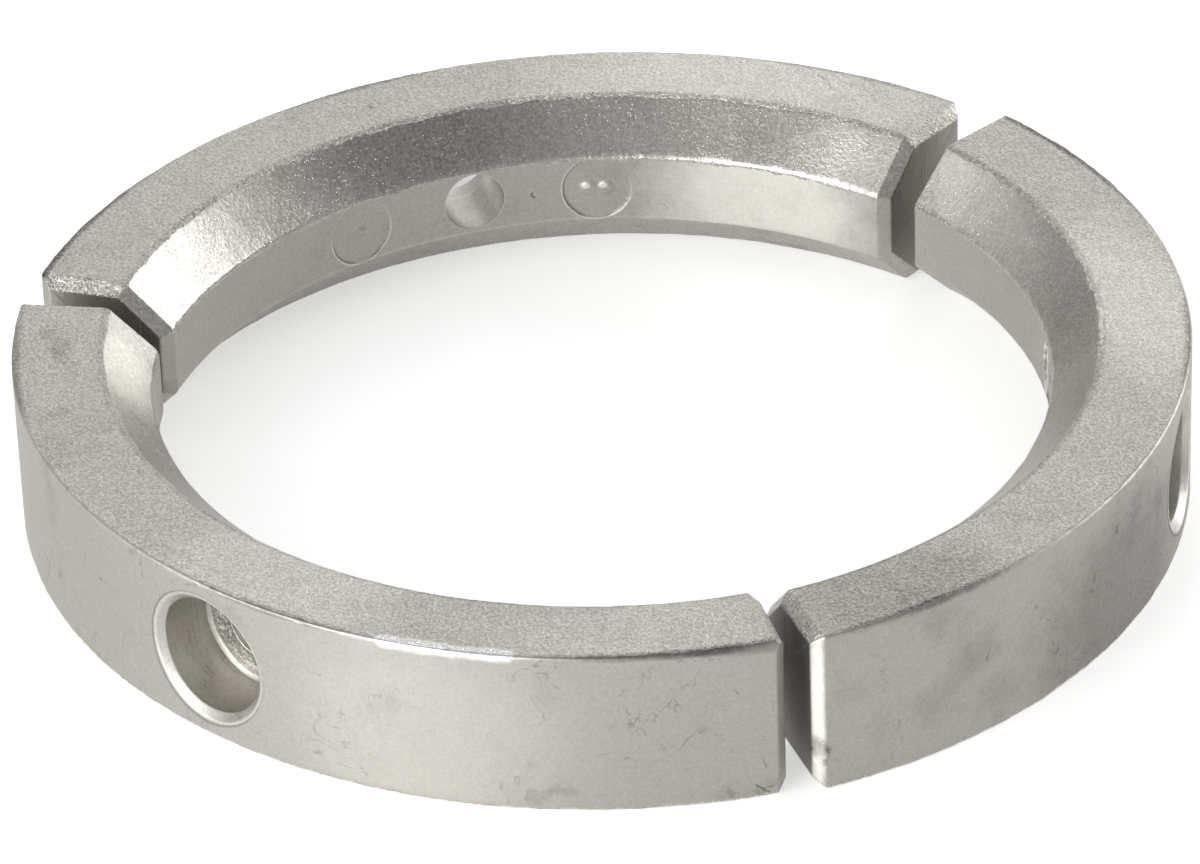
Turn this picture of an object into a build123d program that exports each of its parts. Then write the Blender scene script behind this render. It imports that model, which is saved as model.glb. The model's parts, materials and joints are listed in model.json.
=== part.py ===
"""Ring anode for a propeller hub, in three cast segments laid on a bench in a loose ring.

Millimetres, +Z up, underside on Z = 0, origin in the middle of the ring's outline. The three
castings come from one mould: an arc with a flat inner land between two wide chamfers, bevelled
ends, a stepped screw hole in the middle and the marks of two ejector pins on the land. Each is
made where it lies, its screw hole pointing out from the ring's middle.
"""

import os
from math import degrees, isclose, pi, sin

from build123d import *

os.makedirs("parts", exist_ok=True)

# --- Section of the casting -----------------------------------------------------------------
inner_radius = 41.4  # the land, which sits round the hub
wall = 12.6  # from the land out to the outer wall
land = 6.7  # height of the land
inner_chamfer = 4.5  # legs of the chamfers above and below the land
outer_edge_break = 0.3  # long edges of the outer wall
inner_edge_break = 0.35  # long edges of the two chamfers

# --- Ends -----------------------------------------------------------------------------------
segment_count = 3
end_gap = 6.1  # between two ends on the hub, along the outer wall
end_bevel = 1.0
end_edge_break = 0.3  # on the one end that was left almost sharp

# --- Screw hole -----------------------------------------------------------------------------
screw_hole_radius = 2.9
head_radius = 5.5  # counterbore for the screw's head
metal_under_head = 6.3  # from the counterbore's floor in to the land
mouth_chamfer = 0.7
floor_chamfer = 0.3

# --- Ejector pin marks, on the land ---------------------------------------------------------
mark_radius = 3.2
mark_depth = 0.15  # at the middle of the mark
mark_spacing = 11.8  # along the land, from the screw hole to a mark
figure_height = 0.12  # raised figures inside the marks
dot_radius = 0.45
bead_radius = 0.65
bead_spacing = 1.8

# --- How the loose ring lies ----------------------------------------------------------------
ring_middle = Vector(-0.6, 1.25)  # where the three screw holes point away from
first_bearing = 90  # the back segment's screw hole, from +X
filed_corner = 0.9  # flat on one outer top corner, at the end face

# Worked out from the sizes above
outer_radius = inner_radius + wall
height = land + 2 * inner_chamfer
gap_angle = degrees(end_gap / outer_radius)
span = 360 / segment_count - gap_angle
counterbore_depth = wall - metal_under_head
mark_angle = degrees(mark_spacing / inner_radius)
closing_room = end_gap / (2 * sin(pi / segment_count))  # the push in that would close every gap


def outward(angle: float) -> Vector:
    """The level direction at an angle from +X."""
    return Vector(1, 0, 0).rotate(Axis.Z, angle)


def upright_plane(middle: Vector, angle: float) -> Plane:
    """An upright plane through middle, x pointing out at the angle and y up."""
    x_dir = outward(angle)
    return Plane(origin=middle, x_dir=x_dir, z_dir=x_dir.cross(Vector(0, 0, 1)))


def facing_plane(middle: Vector, angle: float, radius: float, inward: bool = False) -> Plane:
    """An upright plane at mid height, across the radius, facing out or in, y up."""
    normal = outward(angle) * (-1 if inward else 1)
    origin = middle + outward(angle) * radius + Vector(0, 0, height / 2)
    return Plane(origin=origin, x_dir=Vector(0, 0, 1).cross(normal), z_dir=normal)


def long_edges(part: Part, radius: float) -> ShapeList:
    """The arcs of one radius that run the length of a casting."""
    arcs = part.edges().filter_by(GeomType.CIRCLE)
    return arcs.filter_by(lambda edge: isclose(edge.radius, radius, abs_tol=1e-4))


def two_beads() -> tuple:
    """The two beads of the second mark, each its place along the mark and its radius."""
    return ((-bead_spacing / 2, bead_radius), (bead_spacing / 2, bead_radius))


def make_segment(
    index: int, turn: float, closing: float, low_bevel: float, high_bevel: float, filed: bool
) -> BuildPart:
    """One casting, where it lies.

    turn is how far it has swung from its even share of the ring, in gaps. closing is how far
    it is pushed in, as a share of the way that would close the gaps. low_bevel and high_bevel
    are those of its clockwise and its other end, and filed says whether the outer top corner
    of the other end is filed flat.
    """
    bearing = first_bearing + index * 360 / segment_count + turn * gap_angle
    middle = ring_middle - outward(bearing) * (closing * closing_room)
    low_angle = bearing - span / 2
    high_angle = bearing + span / 2
    screw_plane = facing_plane(middle, bearing, outer_radius)

    with BuildPart() as segment:
        # The arc
        with BuildSketch(upright_plane(middle, low_angle)):
            with BuildLine():
                Polyline(
                    (outer_radius, 0),
                    (outer_radius, height),
                    (inner_radius + inner_chamfer, height),
                    (inner_radius, height - inner_chamfer),
                    (inner_radius, inner_chamfer),
                    (inner_radius + inner_chamfer, 0),
                    close=True,
                )
            make_face()
        revolve(axis=Axis(middle, (0, 0, 1)), revolution_arc=span)

        # Ends, bevelled all round
        ends = segment.faces().filter_by(GeomType.PLANE).filter_by(Axis.Z, reverse=True)
        low_end, high_end = ends.sort_by(Axis(middle, outward(bearing + 90)))
        chamfer(low_end.edges(), length=low_bevel)
        chamfer(high_end.edges(), length=high_bevel)

        # Long edges
        chamfer(long_edges(segment, outer_radius), length=outer_edge_break)
        chamfer(long_edges(segment, inner_radius + inner_chamfer), length=inner_edge_break)
        chamfer(long_edges(segment, inner_radius), length=inner_edge_break)

        # Screw hole, stepped from the outer wall
        with Locations(screw_plane):
            CounterBoreHole(
                radius=screw_hole_radius,
                counter_bore_radius=head_radius,
                counter_bore_depth=counterbore_depth,
                depth=wall + mouth_chamfer,
            )
        outer_wall = segment.faces().filter_by(GeomType.CYLINDER).sort_by(SortBy.AREA)[-1]
        chamfer(outer_wall.inner_wires()[0].edges(), length=mouth_chamfer)
        floor = segment.faces().filter_by(GeomType.PLANE).filter_by(screw_plane).sort_by(SortBy.AREA)[-1]
        chamfer(floor.outer_wire().edges(), length=floor_chamfer)

        # Ejector pin marks: a flat spot sunk in the land, with raised figures on it
        for side, figures in ((1, ((0, dot_radius),)), (-1, two_beads())):
            mark_plane = facing_plane(
                middle, bearing + side * mark_angle, inner_radius + mark_depth, inward=True
            )
            with BuildSketch(mark_plane):
                Circle(mark_radius)
            extrude(amount=mark_radius, mode=Mode.SUBTRACT)
            for offset_along, radius in figures:
                with BuildSketch(mark_plane):
                    with Locations((offset_along, 0)):
                        Circle(radius)
                extrude(amount=figure_height)

        # Filed flat, across the outer top corner of one end
        if filed:
            corner = middle + outward(high_angle) * (outer_radius - filed_corner)
            facing = outward(high_angle) + Vector(0, 0, 1)
            split(bisect_by=Plane(corner + Vector(0, 0, height), z_dir=facing), keep=Keep.BOTTOM)

    return segment


segments = {
    "segment_back": make_segment(0, 0.0, 0.77, end_bevel, end_bevel, False),
    "segment_left": make_segment(1, 0.25, 0.54, end_bevel, end_bevel, True),
    "segment_right": make_segment(2, -0.09, 0.11, end_bevel, end_edge_break, False),
}

for name, segment in segments.items():
    segment.part.label = name
    export_step(segment.part, f"parts/{name}.step")
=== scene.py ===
"""Looks of a split ring anode: three zinc castings from one mould, laid in a loose ring.

Each casting is first drafted in mould coordinates, as a straight bar: x is the distance from
the hub's axis, y the way along the outer wall and z the height. A Geometry Nodes tree then
roughens the cast skin, bends the bar round its ring and gives every face its finish. Sizes in
the classes are millimetres; Blender's own unit is the metre.
"""

import json
import logging
import math
from dataclasses import dataclass
from enum import IntEnum

import bpy
import numpy as np
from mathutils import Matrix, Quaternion, Vector


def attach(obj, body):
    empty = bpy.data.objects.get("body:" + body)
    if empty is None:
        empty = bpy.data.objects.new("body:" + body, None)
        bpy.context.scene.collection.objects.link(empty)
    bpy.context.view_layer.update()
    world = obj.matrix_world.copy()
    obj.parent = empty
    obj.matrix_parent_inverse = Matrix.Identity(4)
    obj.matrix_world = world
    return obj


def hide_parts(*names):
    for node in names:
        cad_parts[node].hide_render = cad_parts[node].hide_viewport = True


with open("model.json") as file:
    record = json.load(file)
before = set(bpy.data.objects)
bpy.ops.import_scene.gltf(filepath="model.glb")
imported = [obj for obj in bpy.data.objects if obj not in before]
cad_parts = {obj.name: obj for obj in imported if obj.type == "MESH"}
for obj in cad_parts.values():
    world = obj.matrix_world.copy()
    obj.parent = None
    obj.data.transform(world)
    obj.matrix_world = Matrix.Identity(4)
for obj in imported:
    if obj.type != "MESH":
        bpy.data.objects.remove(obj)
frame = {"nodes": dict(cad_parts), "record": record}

MM = 0.001
MOULD_PLACE = "mould_place"
FINISH_INDEX = "finish"
WEIGHTS = ("edge", "cast", "rough")  # near an edge, grainy as cast, lumpy as broken
NOWHERE = 0.02  # gaps below this are none, in millimetres
log = logging.getLogger("anode")


class Flat(IntEnum):
    """The six flats of a casting's section, in the order that they go round it."""

    WALL = 0
    TOP = 1
    UPPER_CHAMFER = 2
    LAND = 3
    LOWER_CHAMFER = 4
    UNDERSIDE = 5


class Finish(IntEnum):
    """The finishes of a casting, in the order of its material slots."""

    SKIN = 0
    CHAMFER = 1
    LAND = 2
    WALL = 3
    SAWN = 4
    BORED = 5
    ROUGH = 6


# Each flat's finish, and how grainy its skin is.
FLAT_SKIN = {
    Flat.WALL: (Finish.WALL, 0.2),
    Flat.TOP: (Finish.SKIN, 1.0),
    Flat.UPPER_CHAMFER: (Finish.CHAMFER, 0.7),
    Flat.LAND: (Finish.LAND, 0.35),
    Flat.LOWER_CHAMFER: (Finish.CHAMFER, 0.7),
    Flat.UNDERSIDE: (Finish.SKIN, 0.6),
}


def metres(lengths: tuple) -> tuple:
    """Lengths in millimetres, as Blender takes them."""
    return tuple(length * MM for length in lengths)


def smooth_step(value: np.ndarray) -> np.ndarray:
    """Ease values from 0 to 1, clipped at both."""
    held = np.clip(value, 0.0, 1.0)
    return held * held * (3.0 - 2.0 * held)


def wander(count: int, reach: int, seed: int) -> np.ndarray:
    """Smooth random values along a line.

    Args:
        count: How many values.
        reach: How many neighbours a bump spreads over.
        seed: Fixes the pattern.

    Returns:
        Values about 0, mostly within 1 either way.
    """
    noise = np.random.default_rng(seed).normal(size=count + 4 * reach)
    bell = np.hanning(2 * reach + 1)
    even = np.convolve(noise, bell / np.sqrt((bell**2).sum()), mode="same")
    return 0.5 * even[2 * reach : 2 * reach + count]


def soft_corner(before: np.ndarray, corner: np.ndarray, after: np.ndarray, cells: int) -> list[np.ndarray]:
    """Points that round a corner off, without the two tangent points.

    Args:
        before: Where the rounding starts.
        corner: The sharp corner.
        after: Where the rounding ends.
        cells: Steps from start to end.

    Returns:
        The points between, in order.
    """
    shares = [step / cells for step in range(1, cells)]
    return [(1 - s) ** 2 * before + 2 * s * (1 - s) * corner + s**2 * after for s in shares]


def soft_path(corners: list[tuple], breaks: list[float], cells: tuple, corner_cells: int) -> np.ndarray:
    """A polyline with its inner corners rounded.

    Args:
        corners: The sharp corners, first and last included.
        breaks: How far from each inner corner its rounding starts.
        cells: Steps on each straight.
        corner_cells: Steps on each rounding.

    Returns:
        One row for each point.
    """
    sharp = [np.array(corner, float) for corner in corners]
    points = []
    for leg, (start, end) in enumerate(zip(sharp, sharp[1:])):
        heading = (end - start) / np.linalg.norm(end - start)
        first = start + heading * (breaks[leg - 1] if leg else 0.0)
        last = end - heading * (breaks[leg] if leg < len(breaks) else 0.0)
        if points:
            points += soft_corner(points[-1], start, first, corner_cells)
        points += [first + (last - first) * step / cells[leg] for step in range(cells[leg] + 1)]
    return np.array(points)


@dataclass(frozen=True)
class Section:
    """A casting's section: a wall, a top and a land, with two wide chamfers towards the hub."""

    inner_radius: float
    outer_radius: float
    height: float
    chamfer: float = 4.5
    cells: tuple = (42, 22, 20, 42, 12, 10)
    corner_cells: int = 4

    def corners(self) -> np.ndarray:
        """The six corners, each where its flat starts.

        Returns:
            Radius and height, by corner.
        """
        shoulder = self.inner_radius + self.chamfer
        return np.array(
            [
                (self.outer_radius, 0.0),
                (self.outer_radius, self.height),
                (shoulder, self.height),
                (self.inner_radius, self.height - self.chamfer),
                (self.inner_radius, self.chamfer),
                (shoulder, 0.0),
            ]
        )

    def start(self, flat: Flat) -> int:
        """The number of a flat's first point on the outline."""
        return sum(self.cells[:flat]) + self.corner_cells * flat

    def span(self, flat: Flat) -> slice:
        """The numbers of a flat's points on the outline."""
        return slice(self.start(flat), self.start(flat) + self.cells[flat] + 1)

    def finishes(self) -> np.ndarray:
        """The finish of each cell round the outline; a rounded corner goes with the flat before it.

        Returns:
            The finishes, by cell.
        """
        return np.concatenate(
            [np.full(self.cells[flat] + self.corner_cells, FLAT_SKIN[flat][0]) for flat in Flat]
        )

    def graininess(self) -> np.ndarray:
        """How grainy the skin is round the outline.

        Returns:
            A share of the full grain, by point.
        """
        return np.concatenate(
            [np.full(self.cells[flat] + self.corner_cells, FLAT_SKIN[flat][1]) for flat in Flat]
        )

    def outline(self, inset: np.ndarray, breaks: np.ndarray) -> np.ndarray:
        """Outlines of the section, one for each station.

        Args:
            inset: How far each station's outline is drawn in from the full section.
            breaks: How far from each corner its rounding starts, by station and corner.

        Returns:
            Radius and height, by station and point.
        """
        sharp = self.corners()
        along = np.roll(sharp, -1, axis=0) - sharp
        along /= np.linalg.norm(along, axis=1)[:, None]
        inward = np.stack([-along[:, 1], along[:, 0]], axis=1)
        mitre = inward + np.roll(inward, 1, axis=0)
        mitre /= (1 + (inward * np.roll(inward, 1, axis=0)).sum(axis=1))[:, None]
        corner = sharp[None] + inset[:, None, None] * mitre[None]
        points = []
        for flat in Flat:
            following = (flat + 1) % len(Flat)
            first = corner[:, flat] + along[flat] * breaks[:, flat, None]
            last = corner[:, following] - along[flat] * breaks[:, following, None]
            shares = np.linspace(0.0, 1.0, self.cells[flat] + 1)
            points += [first + (last - first) * share for share in shares]
            turned = corner[:, following] + along[following] * breaks[:, following, None]
            points += soft_corner(last, corner[:, following], turned, self.corner_cells)
        return np.stack(points, axis=1)

    def nearness(self, points: np.ndarray, reach: float) -> np.ndarray:
        """How near each outline point is to a corner of the full section, 1 at it and 0 past reach."""
        gaps = np.linalg.norm(points[:, :, None, :] - self.corners()[None, None], axis=3)
        return 1 - smooth_step(gaps.min(axis=2) / reach)


@dataclass(frozen=True)
class EndTrim:
    """How one end of a casting is finished."""

    bevel: float = 1.0
    edge_break: float = 0.16
    filed: float = 0.0
    face_cells: int = 12
    bevel_cells: int = 6
    zone_cells: int = 7
    corner_cells: int = 4

    def path(self, zone: float, depth: float) -> np.ndarray:
        """Stations from inside the end face out over its bevel.

        Args:
            zone: How far from the end face the last one is.
            depth: How far in from the section's outline the first one is.

        Returns:
            Distance from the end face and inset, by station.
        """
        corners = [(0.0, depth), (0.0, self.bevel), (self.bevel, 0.0), (zone, 0.0)]
        softened = min(self.edge_break, 0.4 * self.bevel)
        cells = (self.face_cells, self.bevel_cells, self.zone_cells)
        return soft_path(corners, [softened, softened], cells, self.corner_cells)


@dataclass(frozen=True)
class ScrewHole:
    """The stepped hole through the middle of a casting, level and square to its wall."""

    radius: float
    head_radius: float
    seat: float  # the counterbore's floor, from the hub's axis
    mouth_chamfer: float = 0.7
    floor_chamfer: float = 0.3
    edge_break: float = 0.12
    rim_break: float = 0.1
    mouth_reach: float = 0.5  # how far the rubbed metal reaches either side of the mouth
    margin: float = 1.9  # from the mouth to the seam with the wall's own grid
    lumps_in: tuple = (0.6, 1.4)  # where the floor's lumps start and are whole, in from the recess's wall
    lumps_out: tuple = (0.1, 0.5)  # the same, out from the narrow hole
    graininess: float = 0.1
    seam_cells: int = 9
    cells: tuple = (1, 4, 12, 2, 12, 14, 1)
    corner_cells: int = 3

    def meridian(self, section: Section) -> np.ndarray:
        """The hole's profile, from the wall in to the land.

        Args:
            section: The casting's section.

        Returns:
            Radius of the hole and distance from the hub's axis, by point.
        """
        mouth = self.head_radius + self.mouth_chamfer
        corners = [
            (mouth + 2 * self.edge_break, section.outer_radius),
            (mouth, section.outer_radius),
            (self.head_radius, section.outer_radius - self.mouth_chamfer),
            (self.head_radius, self.seat + self.floor_chamfer),
            (self.head_radius - self.floor_chamfer, self.seat),
            (self.radius, self.seat),
            (self.radius, section.inner_radius),
            (self.radius + self.rim_break, section.inner_radius),
        ]
        breaks = [self.edge_break] * 2 + [self.edge_break / 2] * 2 + [self.edge_break, self.rim_break / 2]
        return soft_path(corners, breaks, self.cells, self.corner_cells)

    def lumps(self, out: np.ndarray) -> np.ndarray:
        """How lumpy the recess's floor is, by distance from the hole's axis.

        Args:
            out: The distances.

        Returns:
            0 to 1, by point.
        """
        (start, whole), (near, far) = self.lumps_in, self.lumps_out
        from_wall = smooth_step((self.head_radius - start - out) / (whole - start))
        return from_wall * smooth_step((out - self.radius - near) / (far - near))


@dataclass(frozen=True)
class PinMark:
    """The mark of an ejector pin: a flat spot sunk in the land, with raised dots on it."""

    along: float  # from the screw hole, along the land
    dots: tuple  # each its place along the mark and its radius
    radius: float = 3.2
    depth: float = 0.15
    dot_height: float = 0.2
    rim: float = 0.16

    def sink(self, section: Section, angle: np.ndarray, height: np.ndarray, radius: np.ndarray) -> np.ndarray:
        """Radius of the land's points once the pin has marked them.

        Args:
            section: The casting's section.
            angle: Each point's angle from the screw hole, in radians.
            height: Each point's height.
            radius: Each point's distance from the hub's axis.

        Returns:
            The new distances.
        """
        turned = angle - self.along / section.inner_radius
        across = section.inner_radius * np.sin(turned)
        up = height - section.height / 2
        inside = smooth_step((self.radius - np.hypot(across, up)) / self.rim + 0.5)
        face = np.full_like(across, section.inner_radius + self.depth)
        for place, size in self.dots:
            face -= self.dot_height * np.sqrt(np.clip(1 - (np.hypot(across - place, up) / size) ** 2, 0, 1))
        return radius + inside * (np.maximum(radius, face / np.cos(turned)) - radius)


@dataclass(frozen=True)
class RoughSpot:
    """A lumpy spot where the skin broke."""

    from_end: float  # from the low end, along the wall
    radius: float  # from the hub's axis
    height: float
    reach: float


class Draft:
    """Points and faces of a mesh while it is drawn."""

    def __init__(self) -> None:
        """Start with nothing drawn."""
        self.points: list[np.ndarray] = []
        self.weights: list[np.ndarray] = []
        self.faces: list[np.ndarray] = []
        self.finishes: list[np.ndarray] = []
        self.count = 0

    def add_points(self, points: np.ndarray, *weights: np.ndarray | float) -> np.ndarray:
        """Add an array of points.

        Args:
            points: The points, their coordinates last.
            weights: One for each name in WEIGHTS, by point or for them all.

        Returns:
            Their numbers, in the same shape.
        """
        shape = points.shape[:-1]
        total = int(np.prod(shape))
        self.points.append(points.reshape(total, 3))
        self.weights.append(np.stack([np.broadcast_to(w, shape).reshape(total) for w in weights]))
        self.count += total
        return np.arange(self.count - total, self.count).reshape(shape)

    def add_faces(self, faces: np.ndarray, finish: np.ndarray | int) -> None:
        """Add quads, or triangles whose last corner repeats the third, of one or more finishes."""
        self.faces.append(faces)
        self.finishes.append(np.broadcast_to(finish, len(faces)))

    def add_rings(self, rings: np.ndarray, finish: np.ndarray) -> None:
        """Join closed rings of points, each to the next.

        Args:
            rings: The points' numbers, by ring and place on it.
            finish: One finish for each step between two rings.
        """
        ahead = np.roll(rings, -1, axis=1)
        quads = np.stack([rings[:-1], ahead[:-1], ahead[1:], rings[1:]], axis=-1)
        self.add_faces(quads.reshape(-1, 4), np.repeat(finish, rings.shape[1]))

    def mesh(self, name: str) -> bpy.types.Mesh:
        """Make the mesh, with its weights and finishes as attributes.

        Args:
            name: What to call it.

        Returns:
            The mesh, in metres.
        """
        quads = np.concatenate(self.faces)
        three = quads[:, 2] == quads[:, 3]
        sizes = np.where(three, 3, 4)
        keep = np.ones_like(quads, bool)
        keep[three, 3] = False
        mesh = bpy.data.meshes.new(name)
        mesh.vertices.add(self.count)
        mesh.vertices.foreach_set("co", (np.concatenate(self.points) * MM).astype(np.float32).ravel())
        mesh.loops.add(int(sizes.sum()))
        mesh.loops.foreach_set("vertex_index", quads[keep].astype(np.int32))
        mesh.polygons.add(len(quads))
        mesh.polygons.foreach_set("loop_start", (np.cumsum(sizes) - sizes).astype(np.int32))
        mesh.update(calc_edges=True)
        for title, values in zip(WEIGHTS, np.concatenate(self.weights, axis=1)):
            weight = mesh.attributes.new(title, "FLOAT", "POINT")
            weight.data.foreach_set("value", values.astype(np.float32))
        finish = mesh.attributes.new(FINISH_INDEX, "INT", "FACE")
        finish.data.foreach_set("value", np.concatenate(self.finishes).astype(np.int32))
        return mesh


@dataclass(frozen=True)
class Lie:
    """Where a casting lies and how large it is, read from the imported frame."""

    node: str
    centre: tuple
    bearing: float
    half_span: float
    section: Section
    hole: ScrewHole

    @classmethod
    def of(cls, node: str) -> "Lie":
        """Read one casting's place and sizes.

        Args:
            node: The name of its CAD node.

        Returns:
            Its place and sizes, in millimetres and radians.
        """
        side = node.removeprefix("segment_")
        mounts = {mount["name"]: mount for mount in frame["record"]["mounts"]}
        bore = mounts[f"screw_hole_{side}"]
        land = mounts[f"hub_land_{side}"]
        out = np.array(bore["axis"][:2])
        inward = np.array(land["axis"][:2])
        bore_middle = np.array(bore["pos_m"][:2]) / MM
        half_bore = bore["dims"]["length_mm"] / 2
        apart = bore_middle - out * half_bore - np.array(land["pos_m"][:2]) / MM
        inner_radius = float(np.linalg.norm(apart) / np.linalg.norm(out + inward))
        centre = bore_middle - out * (inner_radius + half_bore)
        mesh = frame["nodes"][node].data
        points = np.empty(len(mesh.vertices) * 3)
        mesh.vertices.foreach_get("co", points)
        points = points.reshape(-1, 3) / MM
        level = points[:, :2] - centre
        ahead = np.arctan2(level @ np.array([-out[1], out[0]]), level @ out)
        section = Section(inner_radius, float(np.linalg.norm(level, axis=1).max()), float(points[:, 2].max()))
        hole = ScrewHole(
            radius=bore["dims"]["r_mm"],
            head_radius=mounts[f"head_recess_{side}"]["dims"]["r_mm"],
            seat=inner_radius + 2 * half_bore,
        )
        half_span = float((ahead.max() - ahead.min()) / 2)
        return cls(node, tuple(centre), math.atan2(out[1], out[0]), half_span, section, hole)


@dataclass
class Casting:
    """One casting of the ring, with its ends, screw hole and pin marks."""

    lie: Lie
    low_end: EndTrim = EndTrim()
    high_end: EndTrim = EndTrim()
    seed: int = 1
    spots: tuple = ()
    outer_break: float = 0.32
    inner_break: float = 0.4
    hole_break: float = 0.18  # of the land's edges, where the screw hole all but reaches them
    end_zone: float = 3.0
    end_depth: float = 4.6
    station: float = 0.38  # along the outer wall
    fine_station: float = 0.2  # the same, past the pin marks
    mark_margin: float = 1.0  # how far the fine stations run on past a mark
    edge_reach: float = 0.9
    edge_wander: float = 0.3  # how much the edge breaks wander, as a share
    bevel_narrowing: float = 0.3  # how much of the inset an edge break loses over an end's bevel
    least_break: float = 0.08
    filed_softness: float = 0.03
    filed_reach: float = 0.5  # how far short of the filed flat its softening ends
    sawn_graininess: float = 0.2
    seed_step: float = 0.37  # how far apart the castings' grain is read, in metres
    marks: tuple = (PinMark(11.8, ((0.0, 0.45),)), PinMark(-11.8, ((-0.85, 0.75), (0.85, 0.75))))

    @property
    def section(self) -> Section:
        """The casting's section."""
        return self.lie.section

    def seam_angle(self) -> float:
        """How far round from the screw hole the plain grid starts."""
        hole = self.lie.hole
        return (hole.head_radius + hole.mouth_chamfer + hole.margin) / self.section.outer_radius

    def middle_shares(self) -> tuple[np.ndarray, slice]:
        """Where the middle stations stand.

        Returns:
            Their shares of the way from one end's zone to the other's, and which of the steps
            between them lie past the hole.
        """
        section = self.section
        half = self.lie.half_span - self.end_zone / section.outer_radius
        seam = self.seam_angle()
        mark = self.marks[0]
        reach = mark.radius + self.mark_margin
        near = (mark.along - reach) / section.inner_radius
        far = (mark.along + reach) / section.inner_radius
        stops = [0.0, seam, near, far, half]
        steps = [self.station, self.station, self.fine_station, self.station]
        side = [np.array([0.0])]
        for start, end, step in zip(stops, stops[1:], steps):
            cells = math.ceil((end - start) * section.outer_radius / step)
            side.append(np.linspace(start, end, cells + 1)[1:])
        right = np.concatenate(side)
        angles = np.concatenate([-right[:0:-1], right])
        past = np.flatnonzero(np.abs(angles) <= seam + 1e-9)
        return (angles / half + 1)[1:-1] / 2, slice(past[0] - 1, past[-1] - 1)

    def body(self) -> tuple[np.ndarray, np.ndarray, slice]:
        """The grid of the whole casting, before its hole is cut.

        Returns:
            Its points as angle, radius and height, how near each is to an edge, and the
            steps that lie past the hole.
        """
        shares, past = self.middle_shares()
        low = self.low_end.path(self.end_zone, self.end_depth)
        high = self.high_end.path(self.end_zone, self.end_depth)[::-1]
        middle = np.tile([self.end_zone, 0.0], (len(shares), 1))
        path = np.concatenate([low, middle, high])
        weight = np.concatenate([np.zeros(len(low)), shares, np.ones(len(high))])
        past = slice(past.start + len(low), past.stop + len(low))
        outline = self.section.outline(path[:, 1], self.edge_breaks(weight, path[:, 1]))
        radius, height = outline[..., 0], outline[..., 1]
        back = np.arcsin(path[:, :1] / radius)
        half = self.lie.half_span
        angle = (1 - weight[:, None]) * (back - half) + weight[:, None] * (half - back)
        edge = self.section.nearness(outline, self.edge_reach)
        return np.stack([angle, radius, height], axis=-1), edge, past

    def edge_breaks(self, weight: np.ndarray, inset: np.ndarray) -> np.ndarray:
        """How wide the long edges are broken: they wander, and narrow by the screw hole and the ends.

        Args:
            weight: Each station's share of the way from the low end to the high one.
            inset: How far its outline is drawn in.

        Returns:
            The breaks, by station and corner.
        """
        breaks = np.tile([self.outer_break] * 2 + [self.inner_break] * 4, (len(weight), 1))
        for corner in range(len(Flat)):
            worn = wander(len(weight), reach=5, seed=self.seed * 10 + corner)
            worn = worn + wander(len(weight), reach=1, seed=self.seed * 20 + corner)
            breaks[:, corner] *= 1 + self.edge_wander * np.clip(worn, -1.0, 2.0)
        past_seam = np.abs(2 * weight - 1) * self.lie.half_span - self.seam_angle()
        room = smooth_step(past_seam * self.section.inner_radius / 2)[:, None]
        by_hole = slice(Flat.LAND, Flat.LOWER_CHAMFER + 1)
        breaks[:, by_hole] = room * breaks[:, by_hole] + (1 - room) * self.hole_break
        return np.maximum(breaks - self.bevel_narrowing * inset[:, None], self.least_break)

    def sink_marks(self, grid: np.ndarray) -> None:
        """Sink the pin marks into the land.

        Args:
            grid: Angle, radius and height of the casting's points, changed in place.
        """
        land = grid[:, self.section.span(Flat.LAND)]
        for mark in self.marks:
            land[..., 1] = mark.sink(self.section, land[..., 0], land[..., 2], land[..., 1])

    def file_corner(self, grid: np.ndarray) -> None:
        """File the outer top corner of the high end flat.

        Args:
            grid: Angle, radius and height of the casting's points, changed in place.
        """
        if not self.high_end.filed:
            return
        turned = grid[..., 0] - self.lie.half_span
        out = grid[..., 1] * np.cos(turned) - (self.section.outer_radius - self.high_end.filed)
        over = (out + grid[..., 2] - self.section.height) / 2
        over = 0.5 * (over + np.sqrt(over**2 + self.filed_softness**2)) * (over > -self.filed_reach)
        away = grid[..., 1] * np.sin(turned)
        out = grid[..., 1] * np.cos(turned) - over
        grid[..., 2] -= over
        grid[..., 1] = np.hypot(out, away)
        grid[..., 0] = np.arctan2(away, out) + self.lie.half_span

    def rough_spots(self, grid: np.ndarray) -> np.ndarray:
        """How lumpy the surface is.

        Args:
            grid: Angle, radius and height of the casting's points.

        Returns:
            0 to 1, by point.
        """
        angle, radius, height = np.moveaxis(grid, -1, 0)
        from_end = self.lie.half_span * self.section.outer_radius + angle * radius
        lumpy = np.zeros(angle.shape)
        for spot in self.spots:
            gap = np.stack([from_end - spot.from_end, radius - spot.radius, height - spot.height])
            lumpy = np.maximum(lumpy, 1 - smooth_step(np.linalg.norm(gap / spot.reach, axis=0)))
        return lumpy

    def straight(self, grid: np.ndarray) -> np.ndarray:
        """Turn angle, radius and height into mould coordinates."""
        angle, radius, height = np.moveaxis(grid, -1, 0)
        return np.stack([radius, angle * self.section.outer_radius, height], axis=-1)

    def draft(self) -> Draft:
        """Draw the casting in mould coordinates.

        Returns:
            Its closed surface.
        """
        section = self.section
        draft = Draft()
        grid, edge, past = self.body()
        self.sink_marks(grid)
        self.file_corner(grid)
        index = draft.add_points(self.straight(grid), edge, section.graininess(), self.rough_spots(grid))
        wall, land = section.span(Flat.WALL), section.span(Flat.LAND)
        self.draw_skin(draft, index, past)
        self.draw_caps(draft, index, grid)
        rows = np.arange(past.start, past.stop + 1)
        outer = self.window(rows, wall.start, wall.stop - 1)
        inner = self.window(rows, land.stop - 1, land.start)
        self.draw_hole(draft, index, grid, outer, inner)
        return draft

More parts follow.
